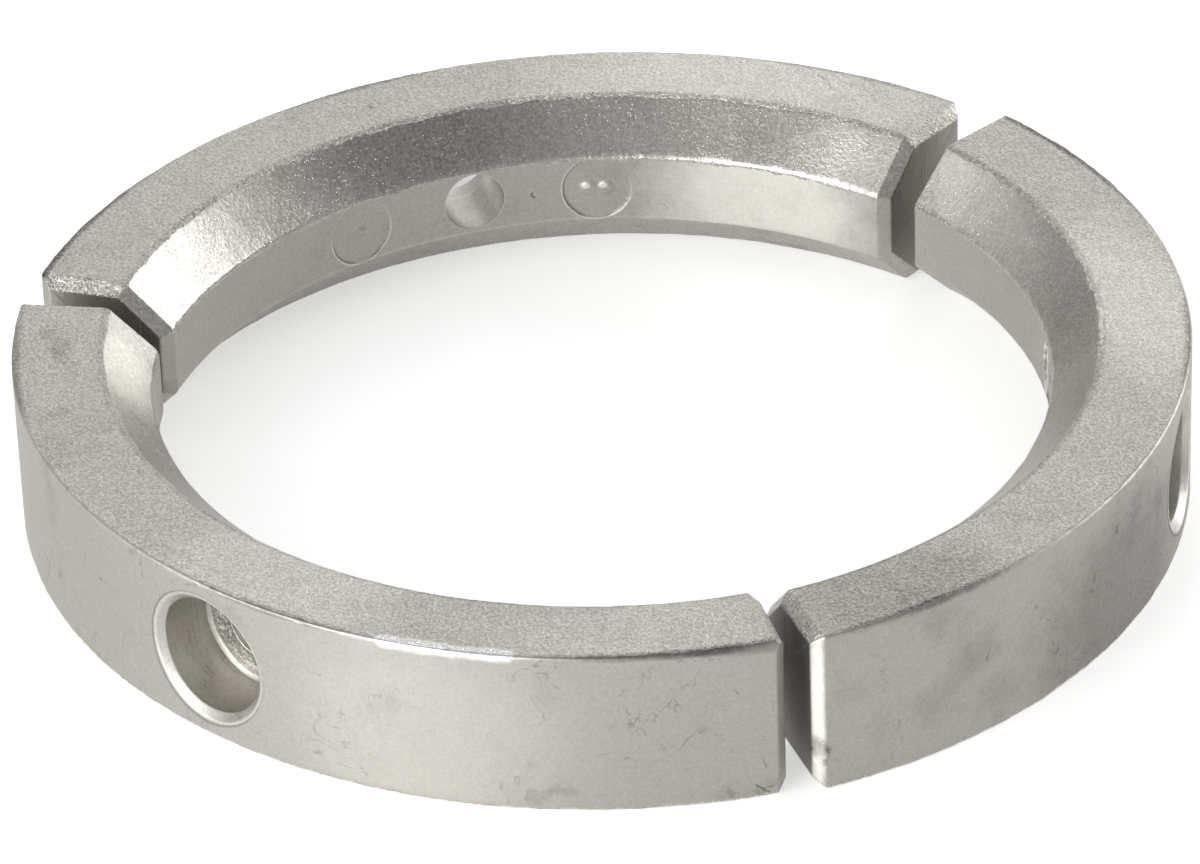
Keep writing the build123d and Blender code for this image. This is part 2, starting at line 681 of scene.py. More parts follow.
    def draw_skin(self, draft: Draft, index: np.ndarray, past: slice) -> None:
        """Draw the grid's faces, apart from the two windows that the hole takes.

        Args:
            draft: Where to draw.
            index: The grid points' numbers.
            past: The steps that lie past the hole.
        """
        section = self.section
        ahead = np.roll(index, -1, axis=1)
        quads = np.stack([index[:-1], index[1:], ahead[1:], ahead[:-1]], axis=-1)
        finish = np.tile(section.finishes(), (len(quads), 1))
        finish[: self.low_end.face_cells] = Finish.SAWN
        finish[-self.high_end.face_cells :] = Finish.SAWN
        keep = np.ones(quads.shape[:2], bool)
        for flat in (Flat.WALL, Flat.LAND):
            span = section.span(flat)
            keep[past.start : past.stop, span.start : span.stop - 1] = False
        draft.add_faces(quads[keep], finish[keep])

    def draw_caps(self, draft: Draft, index: np.ndarray, grid: np.ndarray) -> None:
        """Close the middle of both end faces.

        Args:
            draft: Where to draw.
            index: The grid points' numbers.
            grid: Their angle, radius and height.
        """
        for row, turn in ((0, 1), (-1, -1)):
            middle = self.straight(grid[row].mean(axis=0))[None]
            middle = draft.add_points(middle, 0.0, self.sawn_graininess, 0.0)
            ring = index[row]
            fan = np.stack([np.roll(ring, -1), np.full(len(ring), middle[0]), ring], axis=-1)[:, ::turn]
            draft.add_faces(np.concatenate([fan, fan[:, -1:]], axis=1), Finish.SAWN)

    @staticmethod
    def window(rows: np.ndarray, low: int, high: int) -> tuple[np.ndarray, np.ndarray]:
        """The grid points round a window, anticlockwise as seen from outside the ring.

        Args:
            rows: The window's stations.
            low: The outline point at its lower edge.
            high: The one at its upper edge.

        Returns:
            Stations and outline points, in step.
        """
        rise = np.arange(low, high, 1 if high > low else -1)
        fall = rise[::-1] + (1 if high > low else -1)
        stations = [rows[:-1], np.full(len(rise), rows[-1]), rows[:0:-1], np.full(len(fall), rows[0])]
        places = [np.full(len(rows) - 1, low), rise, np.full(len(rows) - 1, high), fall]
        return np.concatenate(stations), np.concatenate(places)

    def draw_hole(
        self, draft: Draft, index: np.ndarray, grid: np.ndarray, outer: tuple, inner: tuple
    ) -> None:
        """Draw the screw hole, from the window in the wall to the one in the land.

        Args:
            draft: Where to draw.
            index: The grid points' numbers.
            grid: Their angle, radius and height.
            outer: Stations and outline points round the window in the wall.
            inner: The same for the one in the land.
        """
        section, hole = self.section, self.lie.hole
        meridian = hole.meridian(section)
        across, up = np.moveaxis(self.hole_flat(grid, (outer, inner), meridian), -1, 0)
        seam = hole.seam_cells - 1
        base = np.concatenate(
            [np.full(seam, section.outer_radius), meridian[:, 1], np.full(seam, section.inner_radius)]
        )[:, None]
        depth = self.hole_depth(base, across)
        polar = [np.arctan2(across, depth), np.hypot(across, depth), up + section.height / 2]
        out = np.hypot(across, up)
        near_mouth = 1 - smooth_step(np.abs(out - hole.head_radius - hole.mouth_chamfer) / hole.mouth_reach)
        near_mouth[seam + len(meridian) // 3 :] = 0.0
        lumpy = (np.abs(base - hole.seat) < NOWHERE) * hole.lumps(out)
        points = self.straight(np.stack(polar, axis=-1))
        rings = draft.add_points(points, near_mouth, hole.graininess, lumpy)
        rings = np.concatenate([index[outer][None], rings, index[inner][None]])
        seams = [[finish] * hole.seam_cells for finish in (Finish.WALL, Finish.LAND)]
        draft.add_rings(rings, np.concatenate([seams[0], self.hole_finishes(meridian), seams[1]]))

    def hole_flat(self, grid: np.ndarray, windows: tuple, meridian: np.ndarray) -> np.ndarray:
        """The rings of points down the screw hole, as seen along it.

        Args:
            grid: Angle, radius and height of the casting's points.
            windows: Stations and outline points round the outer window and the inner one.
            meridian: The hole's profile.

        Returns:
            How far across and up from the hole's axis, by ring and point.
        """
        hole = self.lie.hole
        ends = []
        for window in windows:
            angle, radius, height = np.moveaxis(grid[window], -1, 0)
            ends.append(np.stack([radius * np.sin(angle), height - self.section.height / 2], axis=-1))
        around = [np.unwrap(np.arctan2(end[:, 1], end[:, 0])) for end in ends]
        inward = smooth_step((hole.head_radius - meridian[:, 0]) / (hole.head_radius - hole.radius))
        inward[meridian[:, 1] > hole.seat + hole.floor_chamfer] = 0.0
        inward[meridian[:, 1] < hole.seat - NOWHERE / 2] = 1.0
        turn = (1 - inward[:, None]) * around[0] + inward[:, None] * around[1]
        circle = np.stack([np.cos(turn), np.sin(turn)], axis=-1) * meridian[:, :1, None]
        shares = (np.arange(1, hole.seam_cells) / hole.seam_cells)[:, None, None]
        in_wall = ends[0] + (circle[0] - ends[0]) * shares
        in_land = circle[-1] + (ends[1] - circle[-1]) * shares
        return np.concatenate([in_wall, circle, in_land])

    def hole_depth(self, base: np.ndarray, across: np.ndarray) -> np.ndarray:
        """How far out the hole's points lie, once its rims follow the round wall and the round land.

        Args:
            base: How far out each ring lies on the hole's axis.
            across: How far each point is across from that axis.

        Returns:
            The distance along the hole's axis from the hub's, by ring and point.
        """
        section, hole = self.section, self.lie.hole
        wall_foot = section.outer_radius - hole.mouth_chamfer
        wall_top = hole.seat + hole.floor_chamfer
        outward = np.clip((base - wall_top) / (wall_foot - wall_top), 0, 1)
        landward = np.clip((hole.seat - base) / (hole.seat - section.inner_radius), 0, 1)
        depth = base
        for radius, share in ((section.outer_radius, outward), (section.inner_radius, landward)):
            depth = depth - share * (radius - np.sqrt(radius**2 - across**2))
        return depth

    def hole_finishes(self, meridian: np.ndarray) -> np.ndarray:
        """The finishes down the hole.

        Args:
            meridian: The hole's profile.

        Returns:
            A finish for each of its steps.
        """
        hole = self.lie.hole
        middle = (meridian[1:] + meridian[:-1]) / 2
        seated = np.abs(middle[:, 1] - hole.seat) < NOWHERE
        rough = seated & (middle[:, 0] < hole.head_radius - hole.floor_chamfer)
        return np.where(rough, Finish.ROUGH, Finish.BORED)

    def build(self, tree: bpy.types.NodeTree, materials: dict) -> bpy.types.Object:
        """Bend the draft to where the casting lies and let it stand for its CAD node.

        Args:
            tree: The cast skin's tree.
            materials: A material for each finish.

        Returns:
            The finished piece, a plain mesh.
        """
        lie = self.lie
        name = f"cast_{lie.node}"
        bar = bpy.data.objects.new("bar", self.draft().mesh("bar"))
        bpy.context.scene.collection.objects.link(bar)
        modifier = bar.modifiers.new("cast skin", "NODES")
        modifier.node_group = tree
        values = {
            "Outer Radius": self.section.outer_radius * MM,
            "Bearing": lie.bearing,
            "Seed": self.seed_step * self.seed,
            "Centre": metres((*lie.centre, 0.0)),
        }
        values.update({finish.name.title(): materials[finish] for finish in Finish})
        for socket in tree.interface.items_tree:
            if socket.in_out == "INPUT" and socket.name in values:
                modifier[socket.identifier] = values[socket.name]
        depsgraph = bpy.context.evaluated_depsgraph_get()
        mesh = bpy.data.meshes.new_from_object(
            bar.evaluated_get(depsgraph), preserve_all_data_layers=True, depsgraph=depsgraph
        )
        bpy.data.objects.remove(bar)
        mesh.name = name
        piece = bpy.data.objects.new(name, mesh)
        bpy.context.scene.collection.objects.link(piece)
        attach(piece, "root")
        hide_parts(lie.node)
        return piece


class Graph:
    """A node tree while it is wired."""

    COVER_REACH = 0.4  # how far the level at which noise is kept falls as the cover goes to 1

    def __init__(self, tree: bpy.types.NodeTree) -> None:
        """Wire into this tree."""
        self.tree = tree

    def add(self, kind: str, **settings: object) -> bpy.types.Node:
        """Add a node and set its properties.

        Args:
            kind: The node's type.
            settings: Its properties, by name.

        Returns:
            The node.
        """
        node = self.tree.nodes.new(kind)
        for name, value in settings.items():
            setattr(node, name, value)
        return node

    def feed(self, socket: bpy.types.NodeSocket, value: object) -> None:
        """Link a socket to another's output, or set its value.

        Args:
            socket: The input.
            value: An output or a plain value.
        """
        if isinstance(value, bpy.types.NodeSocket):
            self.tree.links.new(value, socket)
        else:
            socket.default_value = value

    def math(self, operation: str, *values: object) -> bpy.types.NodeSocket:
        """Add a Math node.

        Args:
            operation: What it does.
            values: What goes in, outputs or numbers.

        Returns:
            Its output.
        """
        node = self.add("ShaderNodeMath", operation=operation)
        for socket, value in zip(node.inputs, values):
            self.feed(socket, value)
        return node.outputs[0]

    def plus(self, start: object, mask: object, weight: float) -> object:
        """Add a weighted mask to a value.

        Args:
            start: The value, an output or a number.
            mask: The mask.
            weight: How much the full mask adds. With nothing to add, no node is made.

        Returns:
            The sum.
        """
        return self.math("MULTIPLY_ADD", mask, weight, start) if weight else start

    def vector(self, operation: str, *values: object) -> bpy.types.NodeSocket:
        """Add a Vector Math node.

        Args:
            operation: What it does.
            values: What goes in, outputs or vectors.

        Returns:
            Its output, a number where the operation measures.
        """
        node = self.add("ShaderNodeVectorMath", operation=operation)
        for socket, value in zip(node.inputs, values):
            self.feed(socket, value)
        return node.outputs["Value" if operation in ("DISTANCE", "DOT_PRODUCT", "LENGTH") else "Vector"]

    def scaled(self, vector: object, scale: object) -> bpy.types.NodeSocket:
        """Multiply a vector by a number.

        Args:
            vector: The vector.
            scale: The number.

        Returns:
            The scaled vector.
        """
        node = self.add("ShaderNodeVectorMath", operation="SCALE")
        self.feed(node.inputs[0], vector)
        self.feed(node.inputs["Scale"], scale)
        return node.outputs[0]

    def ramp(
        self, value: object, low: object, high: object, start: float = 0.0, end: float = 1.0
    ) -> bpy.types.NodeSocket:
        """Ease from one value to another.

        Args:
            value: What the result follows.
            low: Where it starts.
            high: Where it ends.
            start: The result up to low.
            end: The result from high.

        Returns:
            The eased value.
        """
        node = self.add("ShaderNodeMapRange", interpolation_type="SMOOTHSTEP")
        names = ("Value", "From Min", "From Max", "To Min", "To Max")
        for name, given in zip(names, (value, low, high, start, end)):
            self.feed(node.inputs[name], given)
        return node.outputs["Result"]

    def noise(
        self, vector: object, size: object, detail: float = 2.0, roughness: float = 0.5, **more: float
    ) -> bpy.types.NodeSocket:
        """Add noise with features of a given size.

        Args:
            vector: Where it is read.
            size: How large its features are, in metres.
            detail: How many finer octaves it has.
            roughness: How strong each is, as a share of the one before.
            more: Other inputs, by name.

        Returns:
            Values from 0 to 1.
        """
        node = self.add("ShaderNodeTexNoise")
        self.feed(node.inputs["Vector"], vector)
        self.feed(node.inputs["Scale"], self.math("DIVIDE", 1.0, size))
        self.feed(node.inputs["Detail"], detail)
        self.feed(node.inputs["Roughness"], roughness)
        for name, value in more.items():
            self.feed(node.inputs[name], value)
        return node.outputs["Fac"]

    def uneven(self, vector: object, size: float, detail: float) -> bpy.types.NodeSocket:
        """Rough noise about nothing."""
        return self.math("SUBTRACT", self.noise(vector, size, detail=detail, roughness=0.65), 0.5)

    def peaks(self, value: object, bare: float, cover: object, soft: float) -> bpy.types.NodeSocket:
        """Keep noise where it peaks.

        Args:
            value: The noise.
            bare: The level that is kept with no cover at all.
            cover: How much of the surface is to be kept, from 0 to 1.
            soft: How far the level is from nothing to full.

        Returns:
            The mask of what is kept.
        """
        low = self.math("SUBTRACT", bare, self.math("MULTIPLY", cover, self.COVER_REACH))
        return self.ramp(value, low, self.math("ADD", low, soft))

    def sway(self, vector: object, size: float) -> bpy.types.NodeSocket:
        """Add a vector that wanders with the place.

        Args:
            vector: Where it is read.
            size: How far apart its swings are, in metres.

        Returns:
            A vector about nothing.
        """
        node = self.add("ShaderNodeTexNoise")
        self.feed(node.inputs["Vector"], vector)
        self.feed(node.inputs["Scale"], 1.0 / size)
        return self.vector("SUBTRACT", node.outputs["Color"], (0.5, 0.5, 0.5))

    def cells(self, vector: object, size: object, output: str = "Distance") -> bpy.types.NodeSocket:
        """Add Voronoi cells.

        Args:
            vector: Where they are read.
            size: How large they are, in metres.
            output: Which of the node's outputs is wanted.

        Returns:
            That output.
        """
        node = self.add("ShaderNodeTexVoronoi")
        self.feed(node.inputs["Vector"], vector)
        self.feed(node.inputs["Scale"], self.math("DIVIDE", 1.0, size))
        return node.outputs[output]

    def colour(self, share: object, first: tuple, second: tuple) -> bpy.types.NodeSocket:
        """Mix two colours, and go on past them where the share is past 0 or 1.

        Args:
            share: How much of the second.
            first: The colour at 0.
            second: The colour at 1.

        Returns:
            The mixed colour.
        """
        node = self.add("ShaderNodeMix", data_type="RGBA", clamp_factor=False)
        self.feed(node.inputs["Factor"], share)
        for socket, colour in zip(node.inputs[6:8], (first, second)):  # those of the colour kind
            self.feed(socket, (*colour, 1.0))
        return node.outputs[2]

    def separate(self, vector: object) -> list[bpy.types.NodeSocket]:
        """Take a vector apart.

        Args:
            vector: The vector.

        Returns:
            Its three parts.
        """
        node = self.add("ShaderNodeSeparateXYZ")
        self.feed(node.inputs[0], vector)
        return list(node.outputs)

    def combine(self, *parts: object) -> bpy.types.NodeSocket:
        """Put a vector together.

        Args:
            parts: Its three parts.

        Returns:
            The vector.
        """
        node = self.add("ShaderNodeCombineXYZ")
        for socket, value in zip(node.inputs, parts):
            self.feed(socket, value)
        return node.outputs[0]


@dataclass(frozen=True)
class CastSkin:
    """The Geometry Nodes tree that every casting comes out of.

    It wears the surface down a little along its normals, so nothing stands proud of the solid,
    bends the straight bar round its ring and sets the finishes.
    """

    wave_height: float = 0.05
    wave_size: float = 5.0
    grain_height: float = 0.028
    grain_size: float = 0.75
    rough_height: float = 0.16
    rough_size: float = 0.32

    def build(self) -> bpy.types.NodeTree:
        """Make the tree, with its sizes as named inputs.

        Returns:
            The tree.
        """
        tree = bpy.data.node_groups.new("cast_skin", "GeometryNodeTree")
        self.add_sockets(tree.interface)
        graph = Graph(tree)
        given = graph.add("NodeGroupInput").outputs
        bent = self.bend(graph, given, self.wear(graph, given))
        realized = graph.add("GeometryNodeRealizeInstances")
        graph.feed(realized.inputs[0], bent)
        dressed = self.dress(graph, given, realized.outputs[0])
        graph.feed(graph.add("NodeGroupOutput").inputs[0], dressed)
        return tree

    def add_sockets(self, face: bpy.types.NodeTreeInterface) -> None:
        """Name the tree's inputs and its output.

        Args:
            face: The tree's interface.
        """
        face.new_socket("Geometry", in_out="INPUT", socket_type="NodeSocketGeometry")
        for name in ("Outer Radius", "Bearing", "Seed"):
            face.new_socket(name, in_out="INPUT", socket_type="NodeSocketFloat")
        face.new_socket("Centre", in_out="INPUT", socket_type="NodeSocketVector")
        for name, value in vars(self).items():
            socket = face.new_socket(self.title(name), in_out="INPUT", socket_type="NodeSocketFloat")
            socket.default_value = value * MM
        for finish in Finish:
            face.new_socket(finish.name.title(), in_out="INPUT", socket_type="NodeSocketMaterial")
        face.new_socket("Geometry", in_out="OUTPUT", socket_type="NodeSocketGeometry")

    @staticmethod
    def dress(graph: Graph, given: object, bare: bpy.types.NodeSocket) -> bpy.types.NodeSocket:
        """Give every face the material of its finish.

        Args:
            graph: The tree.
            given: Its inputs, by name.
            bare: The casting where it lies.

        Returns:
            The dressed casting.
        """
        index = graph.add("GeometryNodeInputNamedAttribute", data_type="INT")
        index.inputs["Name"].default_value = FINISH_INDEX
        for finish in Finish:
            chosen = graph.add("FunctionNodeCompare", data_type="INT", operation="EQUAL")
            graph.feed(chosen.inputs["A"], index.outputs["Attribute"])
            graph.feed(chosen.inputs["B"], int(finish))
            painted = graph.add("GeometryNodeSetMaterial")
            graph.feed(painted.inputs["Geometry"], bare)
            graph.feed(painted.inputs["Selection"], chosen.outputs[0])
            graph.feed(painted.inputs["Material"], given[finish.name.title()])
            bare = painted.outputs[0]
        return bare

    @staticmethod
    def title(name: str) -> str:
        """A field's name as an input's name."""
        return name.replace("_", " ").title()

    @staticmethod
    def stored(graph: Graph, name: str) -> bpy.types.NodeSocket:
        """Read a number that the draft stored on each point.

        Args:
            graph: The tree.
            name: The attribute's name.

        Returns:
            The number.
        """
        node = graph.add("GeometryNodeInputNamedAttribute", data_type="FLOAT")
        node.inputs["Name"].default_value = name
        return node.outputs["Attribute"]

    def wear(self, graph: Graph, given: object) -> bpy.types.NodeSocket:
        """Keep each point's place in the mould, then wear the surface down in waves and grains.

        Args:
            graph: The tree.
            given: Its inputs, by name.

        Returns:
            The worn bar.
        """
        place = graph.add("GeometryNodeInputPosition").outputs[0]
        kept = graph.add("GeometryNodeStoreNamedAttribute", data_type="FLOAT_VECTOR", domain="POINT")
        graph.feed(kept.inputs["Geometry"], given["Geometry"])
        graph.feed(kept.inputs["Name"], MOULD_PLACE)
        graph.feed(kept.inputs["Value"], place)
        apart = graph.vector("ADD", place, graph.combine(given["Seed"], 0.0, 0.0))
        wave = graph.noise(apart, given["Wave Size"], detail=1.0)
        wave = graph.math("MULTIPLY", wave, given["Wave Height"])
        grain = graph.noise(apart, given["Grain Size"], detail=1.0)
        grain = graph.math("MULTIPLY", grain, given["Grain Height"])
        lumps = graph.noise(apart, given["Rough Size"], roughness=0.6)
        lumps = graph.math("MULTIPLY", graph.ramp(lumps, 0.3, 0.7), given["Rough Height"])
        smooth = graph.math("ADD", wave, graph.math("MULTIPLY", grain, self.stored(graph, "cast")))
        depth = graph.math("ADD", smooth, graph.math("MULTIPLY", lumps, self.stored(graph, "rough")))
        normal = graph.add("GeometryNodeInputNormal").outputs[0]
        moved = graph.add("GeometryNodeSetPosition")
        graph.feed(moved.inputs["Geometry"], kept.outputs[0])
        graph.feed(moved.inputs["Offset"], graph.scaled(normal, graph.math("MULTIPLY", depth, -1.0)))
        return moved.outputs[0]

    def bend(self, graph: Graph, given: object, worn: bpy.types.NodeSocket) -> bpy.types.NodeSocket:
        """Bend the straight bar round its ring.

        Args:
            graph: The tree.
            given: Its inputs, by name.
            worn: The worn bar.

        Returns:
            The casting where it lies.
        """
        place = graph.add("GeometryNodeInputPosition").outputs[0]
        radius, along, height = graph.separate(place)
        angle = graph.math("ADD", graph.math("DIVIDE", along, given["Outer Radius"]), given["Bearing"])
        out = graph.combine(graph.math("COSINE", angle), graph.math("SINE", angle), 0.0)
        level = graph.vector("ADD", graph.scaled(out, radius), given["Centre"])
        moved = graph.add("GeometryNodeSetPosition")
        graph.feed(moved.inputs["Geometry"], worn)
        graph.feed(moved.inputs["Position"], graph.vector("ADD", level, graph.combine(0.0, 0.0, height)))
        smooth = graph.add("GeometryNodeSetShadeSmooth")
        graph.feed(smooth.inputs["Geometry"], moved.outputs[0])
        return smooth.outputs[0]


@dataclass(frozen=True)
class Layer:
    """What one effect adds to a finish where its mask is full."""

    mask: bpy.types.NodeSocket
    tone: float = 0.0
    roughness: float = 0.0
    height: float = 0.0  # in millimetres


@dataclass(frozen=True)
class Shade:
    """Where the surface is painted darker or brighter, in millimetres, as it lies or in the mould: some are
    duller or brighter zinc, others painted shade and highlights.
    """

    centre: tuple
    reach: tuple
    tone: float
    roughness: float = 0.0
    rim: float = 0.0  # width of the line round it, as a share of the reach; 0 fills it instead
    ragged: float = 0.5
    in_mould: bool = False


@dataclass(frozen=True)
class Streak:
    """Where a streak runs, in millimetres, how wide it is to either side and how it looks: some are
    scratches, nicks and stains, others painted highlights.
    """

    start: tuple
    end: tuple
    width: float
    tone: float = -0.3
    depth: float = 0.0
    ragged: float = 0.3
    roughness: float = 0.0


class Effect:
    """A shader node group that several finishes share. It puts out masks and heights alone."""

    name: str = ""
    vectors: tuple = ("Place",)
    numbers: tuple = ()
    outputs: tuple = ("Mask",)

    def __init__(self) -> None:
        """Build the group, with named inputs and outputs."""
        self.tree = bpy.data.node_groups.new(self.name, "ShaderNodeTree")
        face = self.tree.interface
        for names, kind in ((self.vectors, "NodeSocketVector"), (self.numbers, "NodeSocketFloat")):
            for name in names:
                face.new_socket(name, in_out="INPUT", socket_type=kind)
        for name in self.outputs:
            face.new_socket(name, in_out="OUTPUT", socket_type="NodeSocketFloat")
        graph = Graph(self.tree)
        given = graph.add("NodeGroupInput").outputs
        end = graph.add("NodeGroupOutput")
        for name, value in zip(self.outputs, self.wire(graph, given)):
            graph.feed(end.inputs[name], value)

    def wire(self, graph: Graph, given: object) -> tuple:
        """Wire the group.

        Args:
            graph: The group's tree.
            given: The group's inputs, by name.

        Returns:
            Its outputs, in the order of their names.
        """
        raise NotImplementedError

    def place(self, graph: Graph, *values: object) -> list[bpy.types.NodeSocket]:
        """Put the group into a material.

        Args:
            graph: The material's tree.
            values: What goes into its vectors and then its numbers.

        Returns:
            Its outputs.
        """
        node = graph.add("ShaderNodeGroup", node_tree=self.tree)
        for name, value in zip((*self.vectors, *self.numbers), values):
            graph.feed(node.inputs[name], value)
        return [node.outputs[name] for name in self.outputs]


class Grain(Effect):
    """The sandy stipple of a cast skin: short worm-like ridges. Its shade, lighter on the ridges and darker
    in the pits, is partly painted light and shade of that relief.
    """

    name = "sand_grain"
    numbers = ("Size",)
    outputs = ("Height", "Shade")
    fine_size = 0.4  # as a share of the grain's size, like the next
    patch_size = 12.0
    fine_share = 0.3
    patch_levels = (0.25, 0.75)  # of the noise, in the smoothest patches and in the roughest
    patch_strengths = (0.45, 1.3)
    shade_levels = (0.36, 0.64)  # of the height, at the darkest and at the brightest

    def wire(self, graph: Graph, given: object) -> tuple:
        """Lay warped noise over a finer one.

        Args:
            graph: The group's tree.
            given: The group's inputs, by name.

        Returns:
            Height and shade of the grain.
        """
        size = given["Size"]
        ridges = graph.noise(given["Place"], size, detail=1.5, Distortion=0.5)
        fine = graph.noise(given["Place"], graph.math("MULTIPLY", size, self.fine_size), detail=1.0)
        fine = graph.math("MULTIPLY", fine, self.fine_share)
        height = graph.math("ADD", graph.math("MULTIPLY", ridges, 1 - self.fine_share), fine)
        patch = graph.noise(given["Place"], graph.math("MULTIPLY", size, self.patch_size))
        strength = graph.ramp(patch, *self.patch_levels, *self.patch_strengths)
        return graph.math("MULTIPLY", height, strength), graph.ramp(height, *self.shade_levels)


class Tarnish(Effect):
    """Patches where the zinc has dulled."""

    name = "tarnish"
    numbers = ("Size", "Cover")

    def wire(self, graph: Graph, given: object) -> tuple:
        """Make ragged patches of warped noise.

        Args:
            graph: The group's tree.
            given: The group's inputs, by name.

        Returns:
            The mask of the dull patches.
        """
        patch = graph.noise(given["Place"], given["Size"], detail=6.0, roughness=0.68, Distortion=0.2)
        return (graph.peaks(patch, bare=0.72, cover=given["Cover"], soft=0.16),)


class Hairlines(Effect):
    """Vein-like cold shuts: thin wandering lines that come in clusters."""

    name = "hairlines"
    numbers = ("Size", "Width", "Cover")
    break_size = 0.16  # as a share of the lines' size, like the next
    patch_size = 1.1
    whole_levels = (0.42, 0.6)  # of the noise, where a line is broken and where it is whole
    apart = (0.31, 0.17, 0.53)  # how far off the patches' noise is read, in metres

    def wire(self, graph: Graph, given: object) -> tuple:
        """Trace the contours of noise, keep them in patches and break them up.

        Args:
            graph: The group's tree.
            given: The group's inputs, by name.

        Returns:
            The mask of the lines.
        """
        size = given["Size"]
        level = graph.noise(given["Place"], size, detail=4.0, roughness=0.6, Distortion=0.6)
        off = graph.math("ABSOLUTE", graph.math("SUBTRACT", level, 0.5))
        line = graph.ramp(off, 0.0, graph.math("DIVIDE", given["Width"], size), 1.0, 0.0)
        broken = graph.noise(given["Place"], graph.math("MULTIPLY", size, self.break_size))
        broken = graph.ramp(broken, *self.whole_levels)
        apart = graph.vector("ADD", given["Place"], self.apart)
        patch = graph.noise(apart, graph.math("MULTIPLY", size, self.patch_size))
        patch = graph.peaks(patch, bare=0.7, cover=given["Cover"], soft=0.08)
        return (graph.math("MULTIPLY", line, graph.math("MULTIPLY", patch, broken)),)


class Drag(Effect):
    """Fine straight lines from moulding, sawing or turning, in mould coordinates."""

    name = "drag_lines"
    vectors = ("Place", "Grain")
    numbers = ("Cover",)

    def wire(self, graph: Graph, given: object) -> tuple:
        """Draw noise out by the grain's three lengths and keep it where it peaks.

        Args:
            graph: The group's tree.
            given: The group's inputs, by name.

        Returns:
            The mask of the lines.
        """
        drawn = graph.vector("DIVIDE", given["Place"], given["Grain"])
        lines = graph.noise(drawn, 1.0, roughness=0.7)
        return (graph.peaks(lines, bare=0.8, cover=given["Cover"], soft=0.12),)


class Flecks(Effect):
    """Crystals that stand out of the skin. The finish paints them brighter, a painted glint."""

    name = "flecks"
    numbers = ("Size", "Share")
    patch_size = 14.0  # as a share of a fleck's size
    patch_levels = (0.4, 0.65)  # of the noise, in the barest patches and in the thickest
    patch_shares = (0.1, 2.0)  # of the given share
    spot = (0.2, 0.5)  # where a fleck is whole and where it ends, out from its cell's middle

    def wire(self, graph: Graph, given: object) -> tuple:
        """Choose a share of the cells, each a small spot, more in some patches.

        Args:
            graph: The group's tree.
            given: The group's inputs, by name.

        Returns:
            The mask of the spots.
        """
        patch = graph.noise(given["Place"], graph.math("MULTIPLY", given["Size"], self.patch_size))
        share = graph.ramp(patch, *self.patch_levels, *self.patch_shares)
        share = graph.math("MULTIPLY", given["Share"], share)
        chance = graph.separate(graph.cells(given["Place"], given["Size"], "Color"))[0]
        chosen = graph.math("LESS_THAN", chance, share)
        spot = graph.ramp(graph.cells(given["Place"], given["Size"]), *self.spot, 1.0, 0.0)
        return (graph.math("MULTIPLY", chosen, spot),)


class EdgeWear(Effect):
    """Rubbed metal along the edges."""

    name = "edge_wear"
    numbers = ("Edge", "Size")
    swing = 0.7  # how much the noise adds to the nearness or takes from it, all told
    levels = (0.66, 1.0)  # of the nearness, where the rubbed metal starts and is whole

    def wire(self, graph: Graph, given: object) -> tuple:
        """Take the nearness to an edge and break it up by noise.

        Args:
            graph: The group's tree.
            given: The group's inputs, by name.

        Returns:
            The mask of the rubbed metal.
        """
        ragged = graph.noise(given["Place"], given["Size"], detail=3.0, roughness=0.6)
        ragged = graph.math("MULTIPLY", ragged, self.swing)
        worn = graph.math("ADD", given["Edge"], graph.math("SUBTRACT", ragged, self.swing / 2))
        return (graph.ramp(worn, *self.levels),)


class StreakLine(Effect):
    """A ragged streak between two points, for a scratch, nick or stain, and for a painted highlight."""

    name = "scar"
    vectors = ("Place", "Sway", "Start", "End")
    numbers = ("Width", "Ragged", "Uneven")
    sway_size = 1.5  # in millimetres, like the other sizes here
    sway_reach = 5.0
    broad = 0.3  # from this width on the coarse noise tears a streak, and the fine one below it
    fine_size = 0.16
    coarse_size = 0.9
    swing = 5.0  # how far the noise shifts the streak's border, in widths
    core = 0.35  # the share of the width that is full

    def wire(self, graph: Graph, given: object) -> tuple:
        """Measure from the line between the two points, as unevenly as the noise given says.

        Args:
            graph: The group's tree.
            given: The group's inputs, by name.

        Returns:
            The mask of the streak.
        """
        start, end = given["Start"], given["End"]
        run = graph.vector("SUBTRACT", end, start)
        sway = graph.scaled(given["Sway"], graph.math("MULTIPLY", given["Ragged"], self.sway_reach * MM))
        reach = graph.vector("SUBTRACT", graph.vector("ADD", given["Place"], sway), start)
        share = graph.vector("DOT_PRODUCT", reach, run)
        share = graph.math("DIVIDE", share, graph.vector("DOT_PRODUCT", run, run))
        share = graph.math("MINIMUM", graph.math("MAXIMUM", share, 0.0), 1.0)
        gap = graph.vector("DISTANCE", reach, graph.scaled(run, share))
        swing = graph.math("MULTIPLY", given["Ragged"], self.swing)
        uneven = graph.math("MULTIPLY", given["Uneven"], swing)
        off = graph.math("ADD", graph.math("DIVIDE", gap, given["Width"]), uneven)
        return (graph.ramp(off, self.core, 1.0, 1.0, 0.0),)

    def lay(self, graph: Graph, place: object, scars: tuple) -> list[Layer]:
        """Put a finish's streaks, its scars and its painted highlights, into its material, all torn by the
        same noise.

        Args:
            graph: The material's tree.
            place: Object coordinates.
            streaks: The streaks.

        Returns:
            A layer for each.
        """
        if not scars:
            return []
        sway = graph.sway(place, self.sway_size * MM)
        fine = graph.uneven(place, self.fine_size * MM, 3.0)
        coarse = graph.uneven(place, self.coarse_size * MM, 3.0)
        layers = []
        for scar in scars:
            uneven = fine if scar.width < self.broad else coarse
            ends = (metres(scar.start), metres(scar.end))
            (mask,) = self.place(graph, place, sway, *ends, scar.width * MM, scar.ragged, uneven)
            layers.append(Layer(mask, scar.tone, scar.roughness, -scar.depth))
        return layers


